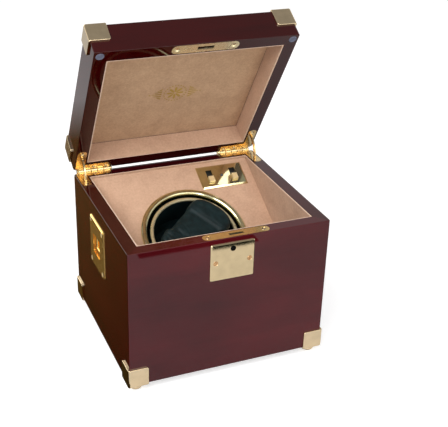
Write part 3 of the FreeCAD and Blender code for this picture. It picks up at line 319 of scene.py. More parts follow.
brassLooks = {    # low and high bound the roughness; metal under 1 stands for lacquer on the brass
    "polishedBrass": {"colour": (0.86, 0.68, 0.44), "low": 0.08, "high": 0.16},
    "giltBrass": {"colour": (0.88, 0.66, 0.34), "low": 0.16, "high": 0.24, "rub": 0.0},
    "mirrorBrass": {"colour": (0.75, 0.59, 0.355), "low": 0.03, "high": 0.05},
    "ringBrass": {"colour": (0.76, 0.71, 0.42), "low": 0.15, "high": 0.22},
    "rimBrass": {"colour": (0.92, 0.82, 0.52), "low": 0.25, "high": 0.35, "metal": 0.85},
    "handleBrass": {"colour": (0.96, 0.64, 0.20), "low": 0.12, "high": 0.20, "metal": 0.9},
    "goldenBrass": {"colour": (0.96, 0.69, 0.29), "low": 0.18, "high": 0.26, "metal": 0.88},
    "knobBrass": {"colour": (0.90, 0.72, 0.42), "low": 0.3, "high": 0.4, "metal": 0.45},
    "satinBrass": {"colour": (0.92, 0.82, 0.52), "low": 0.22, "high": 0.30, "metal": 0.82,
                   "rub": 0.0},
    "switchPlateBrass": {"colour": (0.74, 0.68, 0.40), "low": 0.05, "high": 0.09},
    "copperedBrass": {"colour": (0.72, 0.44, 0.22), "low": 0.15, "high": 0.25},
    "goldFoil": {"colour": (0.42, 0.27, 0.05), "low": 0.3, "high": 0.45, "metal": 0.45},
}


def makeBrass(name, colour, low, high, metal=1.0, rub=0.03):
    material, tree, shader, vector = newMaterial(name, Metallic=metal)
    marks = addGroup(tree, handlingMarks, vector, Low=low, High=high)
    tarnish = put(tree, "ShaderNodeTexNoise", {"Vector": vector}, Scale=140.0, Detail=4.0)
    shade = ramp(tree, tarnish.outputs[0],
                 [(0.3, tuple(c * 0.9 for c in colour)), (0.62, colour)])
    tree.links.new(shade, shader.inputs["Base Color"])
    tree.links.new(marks.outputs["Roughness"], shader.inputs["Roughness"])
    bump(tree, shader, marks.outputs["Height"], rub, 0.0001)
    return material


plainLooks = {
    # black plastic, made darker than its own colour so that the switch slots read as shaded: part real
    # colour, part painted shade
    "blackPlasticAndSlotShade": {"colour": (0.010, 0.010, 0.011), "roughness": 0.5},
    "naturalNylon": {"colour": (0.78, 0.76, 0.70), "roughness": 0.4},
    "platedSteel": {"colour": (0.6, 0.6, 0.61), "roughness": 0.28, "metallic": 1.0},
    # the lock's steel, coloured near black as painted shade so that the keyhole reads dark
    "lockSteelPaintedShade": {"colour": (0.05, 0.05, 0.05), "roughness": 0.5, "metallic": 1.0},
    "sinteredBronze": {"colour": (0.55, 0.36, 0.17), "roughness": 0.45, "metallic": 1.0,
                       "texture": 900.0},
    "circuitBoard": {"colour": (0.02, 0.17, 0.07), "roughness": 0.35},
    "bumperRubber": {"colour": (0.13, 0.14, 0.20), "roughness": 0.55},
    "lampLens": {"colour": (0.05, 0.065, 0.07), "roughness": 0.2, "coat": 0.4},
    "rawBoard": {"colour": (0.45, 0.32, 0.2), "roughness": 0.8, "texture": 120.0},
}


def makePlain(name, colour, roughness, metallic=0.0, coat=0.0, texture=300.0):
    material, tree, shader, vector = newMaterial(name, Metallic=metallic, Coat_Weight=coat)
    mottle = put(tree, "ShaderNodeTexNoise", {"Vector": vector}, Scale=texture, Detail=4.0,
                 Roughness=0.6)
    shade = ramp(tree, mottle.outputs[0], [(0.3, tuple(c * 0.82 for c in colour)), (0.7, colour)])
    rough = ramp(tree, mottle.outputs[0], [(0.3, grey(roughness)), (0.7, grey(roughness * 1.25))])
    tree.links.new(shade, shader.inputs["Base Color"])
    tree.links.new(rough, shader.inputs["Roughness"])
    bump(tree, shader, mottle.outputs[0], 0.3, 0.00005)
    return material


leather = {"deep": (0.003, 0.010, 0.011), "worn": (0.007, 0.021, 0.023), "grain": 1300.0,
           "creases": 170.0}


def makeLeather(name):
    material, tree, shader, vector = newMaterial(name, Specular_IOR_Level=0.22)
    cells = put(tree, "ShaderNodeTexVoronoi", {"Vector": vector}, Scale=leather["grain"])
    creases = put(tree, "ShaderNodeTexNoise", {"Vector": vector}, Scale=leather["creases"],
                  Detail=5.0, Roughness=0.6)
    tone = ramp(tree, creases.outputs[0], [(0.35, leather["deep"]), (0.7, leather["worn"])])
    rough = ramp(tree, creases.outputs[0], [(0.3, grey(0.45)), (0.75, grey(0.6))])
    tree.links.new(tone, shader.inputs["Base Color"])
    tree.links.new(rough, shader.inputs["Roughness"])
    height = maths(tree, "ADD", cells.outputs[0], maths(tree, "MULTIPLY", creases.outputs[0], 1.5))
    bump(tree, shader, height, 0.15, 0.00015)
    return material


quarter = math.pi / 2
finish = {    # the materials by name
    "lacquerAlongX": makeLacquer("lacquerAlongX", (0, 0, 0), "front"),
    "lacquerAlongY": makeLacquer("lacquerAlongY", (0, 0, -quarter), "side"),
    "lacquerLidAlongX": makeLacquer("lacquerLidAlongX", (lidOpen, 0, 0), "lid"),
    "lacquerLidAlongY": makeLacquer("lacquerLidAlongY", (lidOpen, 0, -quarter), "lid"),
    "greenLeather": makeLeather("greenLeather"),
}
for looks, make in ((suedeLooks, makeSuede), (brassLooks, makeBrass), (plainLooks, makePlain)):
    for name, look in looks.items():
        finish[name] = make(name, **look)

finishedNodes = {    # which material each node of the frame gets
    "lacquerAlongX": ["base_front_wall", "base_back_wall"],
    "lacquerAlongY": ["base_left_wall", "base_right_wall"],
    "lacquerLidAlongX": ["lid_front_rail", "lid_back_rail", "lid_top_panel"],
    "lacquerLidAlongY": ["lid_left_rail", "lid_right_rail"],
    "rawBoard": ["base_floor", "deck_battens"],
    "suedeShadedCopy": ["base_lining_front", "base_lining_back", "base_lining_left", "base_lining_right"],
    "suedeLitCopy": ["winder_deck", "lid_lining_sides"],
    "suedeLid": ["lid_lining_pad"],
    "polishedBrass": ["base_corner_caps", "lid_corner_caps", "feet", "base_screws", "lid_screws"],
    "satinBrass": ["lid_strike_plate"],
    "goldenBrass": ["base_strike_plate"],
    "knobBrass": ["timer_slider", "direction_slider"],
    "mirrorBrass": ["lock_plate"],
    "ringBrass": ["deck_ring"],
    "rimBrass": ["rotor_rim_ring"],
    "handleBrass": ["left_handle_plate", "right_handle_plate", "left_handle_bail",
                    "right_handle_bail"],
    "switchPlateBrass": ["switch_plate"],
    "giltBrass": [n for n in frame["nodes"] if "_hinge_" in n or "quadrant" in n],
    "blackPlasticAndSlotShade": ["rotor_housing", "cushion_seat", "switch_block", "power_jack"],
    "naturalNylon": ["rotor_gear"],
    "platedSteel": ["gear_motor", "motor_plate", "motor_pinion"],
    "lockSteelPaintedShade": ["lock_body", "lock_barrel", "lock_bolt"],
    "sinteredBronze": ["rotor_bearing"],
    "greenLeather": ["watch_cushion", "rotor_cup"],
    "circuitBoard": ["control_board"],
    "bumperRubber": ["lid_bumpers"],
    "lampLens": ["indicator_lamp"],
}
for name, nodes in finishedNodes.items():
    for node in nodes:
        mesh = frame["nodes"][node].data
        mesh.materials.clear()
        mesh.materials.append(finish[name])
print("materials set")

# the watch cushion, a soft block whose two ends stand proud of the strap's place, in millimetres
cushion = {"angle": 38.0, "radius": 38.4, "halfWidth": 22.8, "corner": 12, "steps": 96,
           "bottom": -26.3, "bottomEdge": ((0, 5.5), (0.6, 2.6), (2.4, 0.7), (6.5, 0)),
           "top": 10.0, "topEdge": ((-7.0, 0), (-2.6, 0.9), (-0.7, 2.8), (0, 5.5)),
           "waist": 2.6, "waistHalf": 17.0, "waistRamp": (4.0, 1.5), "waistLevels": (-6.0, 6.0),
           "pinch": 0.05, "voxel": 2.0, "pressure": 4.0, "cap": 1.4,
           "limits": (39.2, 23.8, -26.8, 11.4)}    # reach, half width, lowest and highest
cloth = {"quality": 5, "mass": 0.3, "frames": 20}
# folds and creases, deepest towards the front end
slackLeather = {"depth": 0.8, "least": 0.25, "ramp": (-20.0, 4.0), "foldScale": (0.16, 0.07, 0.06),
                "foldLean": 0.05, "creaseScale": (0.11, 0.05, 0.08), "creaseLean": -0.03,
                "creaseStart": 7.0, "creaseSharp": 4.0, "creaseShare": 0.9}
seam = {"depth": 0.28, "width": 0.8, "outside": 1.0, "levels": (-20.0, -4.0)}


def cushionPlace():    # from the cushion's axes (along, across, off the deck) to the scene's
    return deckFrame @ Matrix.Rotation(math.radians(cushion["angle"]), 4, "Z")


def cushionBlock():    # rings of points upwards; each edge lists how far along and inwards a ring is
    rings = [(cushion["bottom"] + step, inset) for step, inset in cushion["bottomEdge"]]
    rings += [(cushion["top"] + step, inset) for step, inset in cushion["topEdge"]]
    bm = bmesh.new()
    loops = []
    power = cushion["corner"]
    steps = cushion["steps"]
    for level, inset in rings:
        loop = []
        for turn in range(steps):
            angle = math.tau * turn / steps
            reach = (cushion["radius"] ** -power
                     + (abs(math.sin(angle)) / cushion["halfWidth"]) ** power) ** (-1 / power)
            reach -= inset
            loop.append(bm.verts.new((reach * math.cos(angle), reach * math.sin(angle), level)))
        loops.append(loop)
    for low, high in zip(loops, loops[1:]):
        for i in range(steps):
            j = (i + 1) % steps
            bm.faces.new((low[i], low[j], high[j], high[i]))
    bm.faces.new(list(reversed(loops[0])))
    bm.faces.new(loops[-1])
    return bm


def meshObject(name, bm, smooth=True):
    mesh = bpy.data.meshes.new(name)
    bmesh.ops.recalc_face_normals(bm, faces=bm.faces)
    bm.to_mesh(mesh)
    bm.free()
    thing = bpy.data.objects.new(name, mesh)
    scene.collection.objects.link(thing)
    if smooth:
        mesh.shade_smooth()
    return thing


def settle(thing):    # replaces the mesh by what its modifiers make of it
    graph = bpy.context.evaluated_depsgraph_get()
    mesh = bpy.data.meshes.new_from_object(thing.evaluated_get(graph))
    thing.modifiers.clear()
    old = thing.data
    thing.data = mesh
    bpy.data.meshes.remove(old)


def remesh(thing, voxel):
    grid = thing.modifiers.new("remesh", "REMESH")
    grid.mode = "VOXEL"
    grid.voxel_size = voxel
    settle(thing)


def swell(thing, pressure, cap):    # stuffed cloth under pressure, each point held to a short move
    start = np.array([v.co for v in thing.data.vertices])
    settings = thing.modifiers.new("cloth", "CLOTH").settings
    settings.quality = cloth["quality"]
    settings.mass = cloth["mass"]
    settings.use_pressure = True
    settings.uniform_pressure_force = pressure
    settings.effector_weights.gravity = 0
    for frameNumber in range(1, cloth["frames"] + 1):
        scene.frame_set(frameNumber)
    graph = bpy.context.evaluated_depsgraph_get()
    made = thing.evaluated_get(graph).data
    moved = np.array([v.co for v in made.vertices]) - start
    length = np.linalg.norm(moved, axis=1, keepdims=True)
    moved *= np.minimum(1.0, cap / np.maximum(length, 1e-9))
    thing.modifiers.clear()
    scene.frame_set(1)
    thing.data.vertices.foreach_set("co", (start + moved).ravel())
    thing.data.update()


def smoothStep(low, high, value):
    t = min(1.0, max(0.0, (value - low) / (high - low)))
    return t * t * (3 - 2 * t)


def leatherNoise(place, scale, lean, start=0.0):    # smooth noise whose folds lean along the block
    x, y, z = place
    return noise.noise(Vector((x * scale[0] + start, y * scale[1] + x * lean, z * scale[2])))


def pressWaist(mesh):    # the strap's place is pressed in
    half = cushion["waistHalf"]
    inner, outer = cushion["waistRamp"]
    for vertex in mesh.vertices:
        x, y, z = vertex.co
        inside = 1 - smoothStep(half - inner, half + outer, abs(x))
        upper = smoothStep(*cushion["waistLevels"], z)
        vertex.co.z -= cushion["waist"] * inside * upper
        vertex.co.y *= 1 - cushion["pinch"] * inside


def shapeLeather(mesh):    # slack folds towards the front end, and a sewn line beside each end block
    radius, across, bottom, top = cushion["limits"]
    normals = [v.normal.copy() for v in mesh.vertices]
    for vertex, normal in zip(mesh.vertices, normals):
        x, y, z = vertex.co
        least = slackLeather["least"]
        slack = least + (1 - least) * (1 - smoothStep(*slackLeather["ramp"], x))
        fold = leatherNoise((x, y, z), slackLeather["foldScale"], slackLeather["foldLean"])
        wave = leatherNoise((x, y, z), slackLeather["creaseScale"], slackLeather["creaseLean"],
                            slackLeather["creaseStart"])
        crease = max(0.0, 1 - abs(wave) * slackLeather["creaseSharp"])
        depth = slackLeather["depth"] * slack * (fold - slackLeather["creaseShare"] * crease)
        line = abs(abs(x) - cushion["waistHalf"] - seam["outside"]) / seam["width"]
        depth -= seam["depth"] * math.exp(-(line ** 2)) * smoothStep(*seam["levels"], z)
        x, y, z = vertex.co + normal * depth
        reach = math.hypot(x, y)
        if reach > radius:
            x, y = x * radius / reach, y * radius / reach
        vertex.co = (x, max(-across, min(across, y)), max(bottom, min(top, z)))
    mesh.update()


def addCushion():
    thing = meshObject("watchCushion", cushionBlock())
    remesh(thing, cushion["voxel"])
    pressWaist(thing.data)
    thing.data.transform(Matrix.Scale(mm, 4))
    swell(thing, cushion["pressure"], cushion["cap"] * mm)
    divide = thing.modifiers.new("subdivide", "SUBSURF")
    divide.levels = divide.render_levels = 1
    settle(thing)
    thing.data.transform(Matrix.Scale(1 / mm, 4))
    shapeLeather(thing.data)
    thing.data.transform(cushionPlace() @ Matrix.Scale(mm, 4))
    thing.data.shade_smooth()
    thing.data.materials.clear()
    thing.data.materials.append(finish["greenLeather"])
    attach(thing, "cushion")
    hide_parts("watch_cushion")


# the lid's lining: a padded suede sheet with a soft edge all round, and a foil ornament on it
lidPad = {"columns": 110, "rows": 98, "crowding": 0.98, "crown": 1.1, "shoulder": 1.7,
          "bury": 0.25, "ripple": 0.16, "rippleEdge": 2.0, "puckerReach": 5.0,
          "wave": ((0.05, 0.03), (-0.02, 0.035), 3.0), "fine": ((0.16, 0.0), (0.0, 0.13), 8.0),
          "pucker": ((0.35, 0.0), (0.0, 0.35), 1.0), "fineShare": 0.4, "puckerShare": 0.6}
ornament = {"centre": (0.0, 5.0), "petals": 8, "petalStart": 1.2, "petalLength": 7.6,
            "petalWidth": 3.0, "petalSteps": 12, "ring": 11.0, "dots": 24, "dot": 0.8, "dotSteps": 8,
            "barStart": 13.5, "barEnd": 24.0, "barSteps": 14, "barThick": 0.8, "barThin": 0.1,
            "bars": {-7.0: 0.5, -3.5: 0.8, 0.0: 1.0, 3.5: 0.8, 7.0: 0.5},    # level: share of length
            "barBend": 0.35, "tipGap": 1.6, "tip": (1.1, 0.9), "lift": 0.12,
            "pressed": (26.0, 42.0)}    # the pad is flat inside the first radius, wavy past the other


def shutBox(node):    # a lid node's corners with the lid shut, in millimetres
    back = lidFrame.inverted()
    points = np.array([back @ v.co for v in frame["nodes"][node].data.vertices]) / mm
    return points.min(0), points.max(0)


def padNoise(x, y, kind):    # kind names a pattern: its two directions across the pad, and its level
    (a, b), (c, d), level = lidPad[kind]
    return noise.noise(Vector((x * a + y * b, y * d + x * c, level)))


def padHeight(x, y, halfX, halfY):    # how far the pad stands into the lid
    edge = max(min(halfX - abs(x), halfY - abs(y)), 0.0)
    rise = lidPad["crown"] * (1 - math.exp(-edge / lidPad["shoulder"]))
    pucker = padNoise(x, y, "pucker") * math.exp(-edge / lidPad["puckerReach"])
    ripple = padNoise(x, y, "wave") + lidPad["fineShare"] * padNoise(x, y, "fine")
    ripple = lidPad["ripple"] * (ripple + lidPad["puckerShare"] * pucker)
    cx, cy = ornament["centre"]    # the stamped place is pressed flat
    ripple *= smoothStep(*ornament["pressed"], math.hypot(x - cx, y - cy))
    return rise + ripple * (1 - math.exp(-edge / lidPad["rippleEdge"]))


def crowded(half, i, count):    # places from -half to half, closer together near the edges
    share = lidPad["crowding"]
    return half * math.sin(math.pi * (i / count - 0.5) * share) / math.sin(math.pi * share / 2)


def addLidPad():
    low, high = shutBox("lid_lining_pad")
    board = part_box("base_lining_left")
    lining = (board[1].x - board[0].x) / mm
    halfX, halfY = high[0] - lining, high[1] - lining
    bm = bmesh.new()
    across, along = lidPad["columns"], lidPad["rows"]
    grid = []
    for j in range(along + 1):
        row = []
        for i in range(across + 1):
            x, y = crowded(halfX, i, across), crowded(halfY, j, along)
            level = low[2] - padHeight(x, y, halfX, halfY) + lidPad["bury"]
            row.append(bm.verts.new((x, y, level)))
        grid.append(row)
    for j in range(along):
        for i in range(across):
            bm.faces.new((grid[j][i], grid[j + 1][i], grid[j + 1][i + 1], grid[j][i + 1]))
    left, right = [row[0] for row in grid], [row[-1] for row in grid]
    border = grid[0][:-1] + right[:-1] + grid[-1][:0:-1] + left[:0:-1]
    back = [bm.verts.new((v.co.x, v.co.y, high[2])) for v in border]
    for i in range(len(border)):
        j = (i + 1) % len(border)
        bm.faces.new((border[i], border[j], back[j], back[i]))
    bm.faces.new(back)
    thing = meshObject("lidPad", bm)
    thing.data.transform(lidFrame @ Matrix.Scale(mm, 4))
    thing.data.materials.append(finish["suedeLid"])
    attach(thing, "lid")
    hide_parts("lid_lining_pad")
    addOrnament(low[2] + lidPad["bury"], halfX, halfY)


def addOrnament(level, halfX, halfY):    # a small rosette between two tapering bars, in gold foil
    cx, cy = ornament["centre"]
    bm = bmesh.new()

    def patch(points):
        loop = []
        for x, y in points:
            z = level - padHeight(cx + x, cy + y, halfX, halfY) - ornament["lift"]
            loop.append(bm.verts.new((cx + x, cy + y, z)))
        bm.faces.new(loop)

    for petal in range(ornament["petals"]):
        turn = math.tau * petal / ornament["petals"]
        c, s = math.cos(turn), math.sin(turn)
        outline = []
        for k in range(ornament["petalSteps"]):
            t = math.tau * k / ornament["petalSteps"]
            share = 0.5 - 0.5 * math.cos(t)
            along = ornament["petalStart"] + ornament["petalLength"] * share
            wide = ornament["petalWidth"] / 2 * math.sin(t) * (0.6 + 0.4 * share)
            outline.append((along * c - wide * s, along * s + wide * c))
        patch(outline)
    ring, dot, steps = ornament["ring"], ornament["dot"], ornament["dotSteps"]
    for place in range(ornament["dots"]):
        turn = math.tau * (place + 0.5) / ornament["dots"]
        px, py = ring * math.cos(turn), ring * math.sin(turn)
        patch([(px + dot * math.cos(math.tau * k / steps),
                py + dot * math.sin(math.tau * k / steps)) for k in range(steps)])
    start, end, steps = ornament["barStart"], ornament["barEnd"], ornament["barSteps"]
    tipX, tipY = ornament["tip"]
    for side in (-1, 1):
        for row, length in ornament["bars"].items():
            upper, lower = [], []
            for k in range(steps + 1):
                x = side * (start + (end - start) * length * k / steps)
                thick = ornament["barThick"] * (1 - k / steps) ** 0.7 + ornament["barThin"]
                bend = row * (1 - ornament["barBend"] * k / steps)
                upper.append((x, bend + thick))
                lower.append((x, bend - thick))
            for k in range(steps):
                patch([upper[k], upper[k + 1], lower[k + 1], lower[k]])
        tip = side * (end + ornament["tipGap"])
        patch([(tip - tipX, 0), (tip, tipY), (tip + tipX, 0), (tip, -tipY)])
    thing = meshObject("foilOrnament", bm)
    thing.data.transform(lidFrame @ Matrix.Scale(mm, 4))
    thing.data.materials.append(finish["goldFoil"])
    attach(thing, "lid")


# turned suede edges along the tops of the linings
edgeRoll = {"radius": 0.62, "roundness": 3, "corner": 1.6, "cornerSteps": 6, "sink": 0.35}


def roundedLoop(halfX, halfY, level):
    corner, steps = edgeRoll["corner"], edgeRoll["cornerSteps"]
    points = []
    for sx, sy, first in ((1, 1, 0), (-1, 1, 1), (-1, -1, 2), (1, -1, 3)):
        for k in range(steps + 1):
            angle = math.pi / 2 * (first + k / steps)
            points.append((sx * (halfX - corner) + corner * math.cos(angle),
                           sy * (halfY - corner) + corner * math.sin(angle), level))
    return points


def addRoll(name, body, level, place):
    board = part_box("base_lining_left")
    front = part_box("base_lining_front")
    middleX = -(board[0].x + board[1].x) / 2 / mm
    middleY = -(front[0].y + front[1].y) / 2 / mm
    curve = bpy.data.curves.new(name, "CURVE")
    curve.dimensions = "3D"
    curve.bevel_depth = edgeRoll["radius"] * mm
    curve.bevel_resolution = edgeRoll["roundness"]
    loop = roundedLoop(middleX, middleY, level)
    spline = curve.splines.new("POLY")
    spline.points.add(len(loop) - 1)
    for point, (x, y, z) in zip(spline.points, loop):
        point.co = (*(place @ Vector((x * mm, y * mm, z * mm))), 1)
    spline.use_cyclic_u = True
    thing = bpy.data.objects.new(name, curve)
    scene.collection.objects.link(thing)
    curve.materials.append(finish["suedeEdge"])
    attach(thing, body)


# the switch plate again, with the wide shallow bevel of a rolled brass plate
plateEdge = {"upright": 0.85}    # height of its upright edge, in millimetres


def addSwitchPlate():
    mesh = frame["nodes"]["switch_plate"].data.copy()
    mesh.name = "switchPlate"
    mesh.transform(deckFrame.inverted())
    points = np.array([v.co for v in mesh.vertices])
    low, high = points.min(0), points.max(0)
    close = 1e-5    # points this near to the outline belong to it
    outline = np.minimum(points[:, :2] - low[:2], high[:2] - points[:, :2]).min(1) < close
    for vertex, onEdge in zip(mesh.vertices, outline):
        if onEdge and vertex.co.z > low[2] + close:
            vertex.co.z = low[2] + plateEdge["upright"] * mm
    mesh.transform(deckFrame)
    mesh.update()
    mesh.materials.clear()
    mesh.materials.append(finish["switchPlateBrass"])
    thing = bpy.data.objects.new("switchPlate", mesh)
    scene.collection.objects.link(thing)
    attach(thing, "base")
    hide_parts("switch_plate")


# slotted screws in place of the plain ones, in millimetres
screw = {"slotWidth": 0.6, "slotDepth": 0.6, "chamfer": 0.3, "headDepth": 1.0, "shank": 1.1,
         "headSteps": 14, "shankSteps": 12, "rimShare": 0.9, "seed": 7}


def islands(mesh):    # the separate solids of a node, each as an array of points
    bm = bmesh.new()
    bm.from_mesh(mesh)
    bmesh.ops.remove_doubles(bm, verts=bm.verts, dist=1e-6)
    seen, found = set(), []
    for first in bm.verts:
        if first in seen:
            continue
        seen.add(first)
        stack, points = [first], []
        while stack:
            vertex = stack.pop()
            points.append(tuple(vertex.co))
            for edge in vertex.link_edges:
                other = edge.other_vert(vertex)
                if other not in seen:
                    seen.add(other)
                    stack.append(other)
        found.append(np.array(points))
    bm.free()
    return found


def screwPlace(points):    # where the head's face is, which way it faces, its radius and length
    middle = (points.min(0) + points.max(0)) / 2
    values, axes = np.linalg.eigh(np.cov((points - points.mean(0)).T))
    axis = axes[:, 2]
    along = (points - middle) @ axis
    apart = np.linalg.norm(points - middle - np.outer(along, axis), axis=1)
    outer = apart > screw["rimShare"] * apart.max()
    if along[outer].mean() < 0:
        axis, along = -axis, -along
    rim = points[outer & (along > along.max() - 1e-4)]
    face = rim.mean(0)
    radius = np.linalg.norm(rim - face, axis=1).mean()
    return Vector(face), Vector(axis), float(radius), float(along.max() - along.min())


def screwHead(bm, face, axis, radius, length, turn, kind):
    side = Matrix.Rotation(turn, 3, axis) @ axis.orthogonal().normalized()
    other = axis.cross(side)
    half = screw["slotWidth"] * mm / 2
    chamfer, deep = screw["chamfer"] * mm, screw["slotDepth"] * mm
    shank, under = screw["shank"] * mm, screw["headDepth"] * mm
    made = []

    def at(x, y, z):
        return bm.verts.new(face + side * x + other * y + axis * z)

    first = math.asin(half / radius)
    inner = 1 - chamfer / radius
    steps = screw["headSteps"]
    for sign in (1, -1):    # the two halves of the head, beside the slot
        top, rim, low = [], [], []
        for k in range(steps + 1):
            angle = first + (math.pi - 2 * first) * k / steps
            x, y = radius * math.cos(angle), radius * math.sin(angle)
            top.append(at(x * inner, sign * max(y * inner, half), 0))
            rim.append(at(x, sign * y, -chamfer))
            low.append(at(x, sign * y, -under))
        made.append(bm.faces.new(top))
        for upper, lower in ((top, rim), (rim, low)):
            for k in range(steps):
                made.append(bm.faces.new((upper[k], upper[k + 1], lower[k + 1], lower[k])))
        foot = [at(-radius, sign * half, -deep), at(radius, sign * half, -deep)]
        made.append(bm.faces.new((top[0], top[-1], foot[0], foot[1])))
    corners = ((radius, half), (-radius, half), (-radius, -half), (radius, -half))
    made.append(bm.faces.new([at(x, y, -deep) for x, y in corners]))    # the slot's floor
    steps = screw["shankSteps"]
    upper, lower = [
        [at(shank * math.cos(math.tau * k / steps), shank * math.sin(math.tau * k / steps), z)
         for k in range(steps)] for z in (-under, -length)]
    for k in range(steps):
        after = (k + 1) % steps
        made.append(bm.faces.new((upper[k], upper[after], lower[after], lower[k])))
    for patch in made:
        patch.material_index = kind


def addScrews(name, node, body):
    bm = bmesh.new()
    dice = random.Random(screw["seed"])
    for points in islands(frame["nodes"][node].data):
        face, axis, radius, length = screwPlace(points)
        kind = 1 if axis.y < -0.9 else 2 if abs(axis.x) > 0.9 else 0    # lock, handles, the others
        screwHead(bm, face, axis, radius, length, dice.uniform(0, math.pi), kind)
    thing = meshObject(name, bm, smooth=False)
    thing.data.materials.append(finish["polishedBrass"])
    thing.data.materials.append(finish["copperedBrass"])
    thing.data.materials.append(finish["knobBrass"])
    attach(thing, body)
    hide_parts(node)


addCushion()
print("cushion made")
addLidPad()
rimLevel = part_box("base_lining_front")[1].z / mm
addRoll("baseLiningRoll", "base", rimLevel - edgeRoll["sink"], Matrix.Identity(4))
addRoll("lidLiningRoll", "lid", shutBox("lid_lining_sides")[0][2] + edgeRoll["sink"], lidFrame)
print("linings made")
addSwitchPlate()
addScrews("baseScrewHeads", "base_screws", "base")
addScrews("lidScrewHeads", "lid_screws", "lid")
print("screws made")


# the studio
studio = {"floorSize": 6.0, "floorColour": (0.64, 0.64, 0.64), "floorGlow": 0.6, "mirrorGlow": 0.05,
          "cardLevel": 0.001, "cardColour": (1, 0.98, 0.92, 1), "world": 0.55,
          "sky": ((0.0, 0.98), (0.3, 0.8), (0.62, 0.30), (1.0, 0.30))}    # what reflections see, upwards
# painted shadow and painted dark reflections: dark cards on the floor, for reflections alone; the left
# one paints the shaded floor beside the box, darkest next to it, the other two paint dark bands along
# the front wall's top and the lock plate's top. Entries: corners, where a slanted side starts and ends,
# how softly the rear side fades, and tones from front to rear
shadeCards = {
    "leftShadowCard": {"low": (-0.9, -0.10), "high": (-0.094, 0.67), "slant": (0.16, -0.215), "fade": 0.17,
                 "tones": ((0.04, (0.035, 0.022, 0.006)), (0.24, (0.075, 0.045, 0.011)),
                           (0.50, (0.135, 0.085, 0.024)), (1.0, (0.16, 0.105, 0.040)))},
    "edgeShadeCard": {"low": (-0.012, -0.34), "high": (0.073, -0.3085), "fade": 0.004,
                 "tones": ((0.0, (0.012, 0.016, 0.010)), (1.0, (0.012, 0.016, 0.010)))},
    "plateShadeCard": {"low": (0.073, -0.34), "high": (0.133, -0.3035), "fade": 0.0,
                  "tones": ((0.0, (0.012, 0.016, 0.010)), (1.0, (0.012, 0.016, 0.010)))},
}
# a curved card that the switch plate mirrors: places across and up the plate, and half widths,
# as shares of the plate; its height above the plate in millimetres
glint = {"path": ((0.42, -0.02, 0.12), (0.50, 0.20, 0.09), (0.62, 0.50, 0.05), (0.86, 0.72, 0.08),
                  (0.97, 1.05, 0.09)), "steps": 24, "height": 48.0, "strength": 2.2}
# bright cards for the rounded edges of brass and lacquer to mirror
edgeCards = {"frontCard": {"from": (-0.1, -1.2, 0.32), "to": (0.95, -1.2, 1.25), "strength": 1.5},
             "rearCard": {"from": (-1.0, 1.25, 0.25), "to": (-0.25, 1.25, 1.05), "strength": 3.0}}


def stageObject(name, points, faces):
    mesh = bpy.data.meshes.new(name)
    mesh.from_pydata(points, [], faces)
    thing = bpy.data.objects.new(name, mesh)
    scene.collection.objects.link(thing)
    material = bpy.data.materials.new(name)
    material.use_nodes = True
    material.node_tree.nodes.clear()
    mesh.materials.append(material)
    return thing, material.node_tree


def addFloor():
    half = studio["floorSize"] / 2
    corners = [(-half, -half, 0), (half, -half, 0), (half, half, 0), (-half, half, 0)]
    tree = stageObject("floor", corners, [(0, 1, 2, 3)])[1]
    out = tree.nodes.new("ShaderNodeOutputMaterial")
    matte = put(tree, "ShaderNodeBsdfDiffuse", Color=(*studio["floorColour"], 1))
    glow = put(tree, "ShaderNodeEmission", Color=(1, 1, 1, 1))
    path = tree.nodes.new("ShaderNodeLightPath")
    shine = maths(tree, "MULTIPLY", path.outputs["Is Camera Ray"], studio["floorGlow"])
    bent = maths(tree, "MAXIMUM", path.outputs["Is Glossy Ray"], path.outputs["Is Transmission Ray"])
    shine = maths(tree, "ADD", shine, maths(tree, "MULTIPLY", bent, studio["mirrorGlow"]))
    tree.links.new(shine, glow.inputs["Strength"])
    both = put(tree, "ShaderNodeAddShader")
    tree.links.new(matte.outputs[0], both.inputs[0])
    tree.links.new(glow.outputs[0], both.inputs[1])
    tree.links.new(both.outputs[0], out.inputs[0])


def hideCard(card):    # leaves a card to reflections alone
    card.visible_camera = False
    card.visible_diffuse = False
    card.visible_shadow = False


def shineCard(card, tree, strength):
    out = tree.nodes.new("ShaderNodeOutputMaterial")
    glow = put(tree, "ShaderNodeEmission", Color=studio["cardColour"], Strength=strength)
    tree.links.new(glow.outputs[0], out.inputs[0])
    hideCard(card)


def addShadeCard(name, spec):
    (left, front), (right, rear) = spec["low"], spec["high"]
    turn, end = spec.get("slant", (rear, right))    # where the right edge starts to slant, and ends
    outline = [(left, front), (right, front), (right, turn), (end, rear), (left, rear)]
    card, tree = stageObject(name, [(x, y, studio["cardLevel"]) for x, y in outline],
                             [(0, 1, 2, 3, 4)])
    out = tree.nodes.new("ShaderNodeOutputMaterial")
    coords = tree.nodes.new("ShaderNodeTexCoord")
    split = put(tree, "ShaderNodeSeparateXYZ", {0: coords.outputs["Object"]})
    along = maths(tree, "SUBTRACT", split.outputs[1], front)
    along = maths(tree, "DIVIDE", along, rear - front)
    # the painted shade's tone, from front to rear
    tone = ramp(tree, along, spec["tones"])
    glow = put(tree, "ShaderNodeEmission", {"Color": tone}, Strength=1.0)
    clear = put(tree, "ShaderNodeBsdfTransparent")
    past = maths(tree, "SUBTRACT", split.outputs[1], rear - spec["fade"])
    fade = maths(tree, "DIVIDE", past, max(spec["fade"], 0.001), clamp=True)
    pick = put(tree, "ShaderNodeMixShader")
    tree.links.new(fade, pick.inputs[0])
    tree.links.new(glow.outputs[0], pick.inputs[1])
    tree.links.new(clear.outputs[0], pick.inputs[2])
    tree.links.new(pick.outputs[0], out.inputs[0])
    hideCard(card)


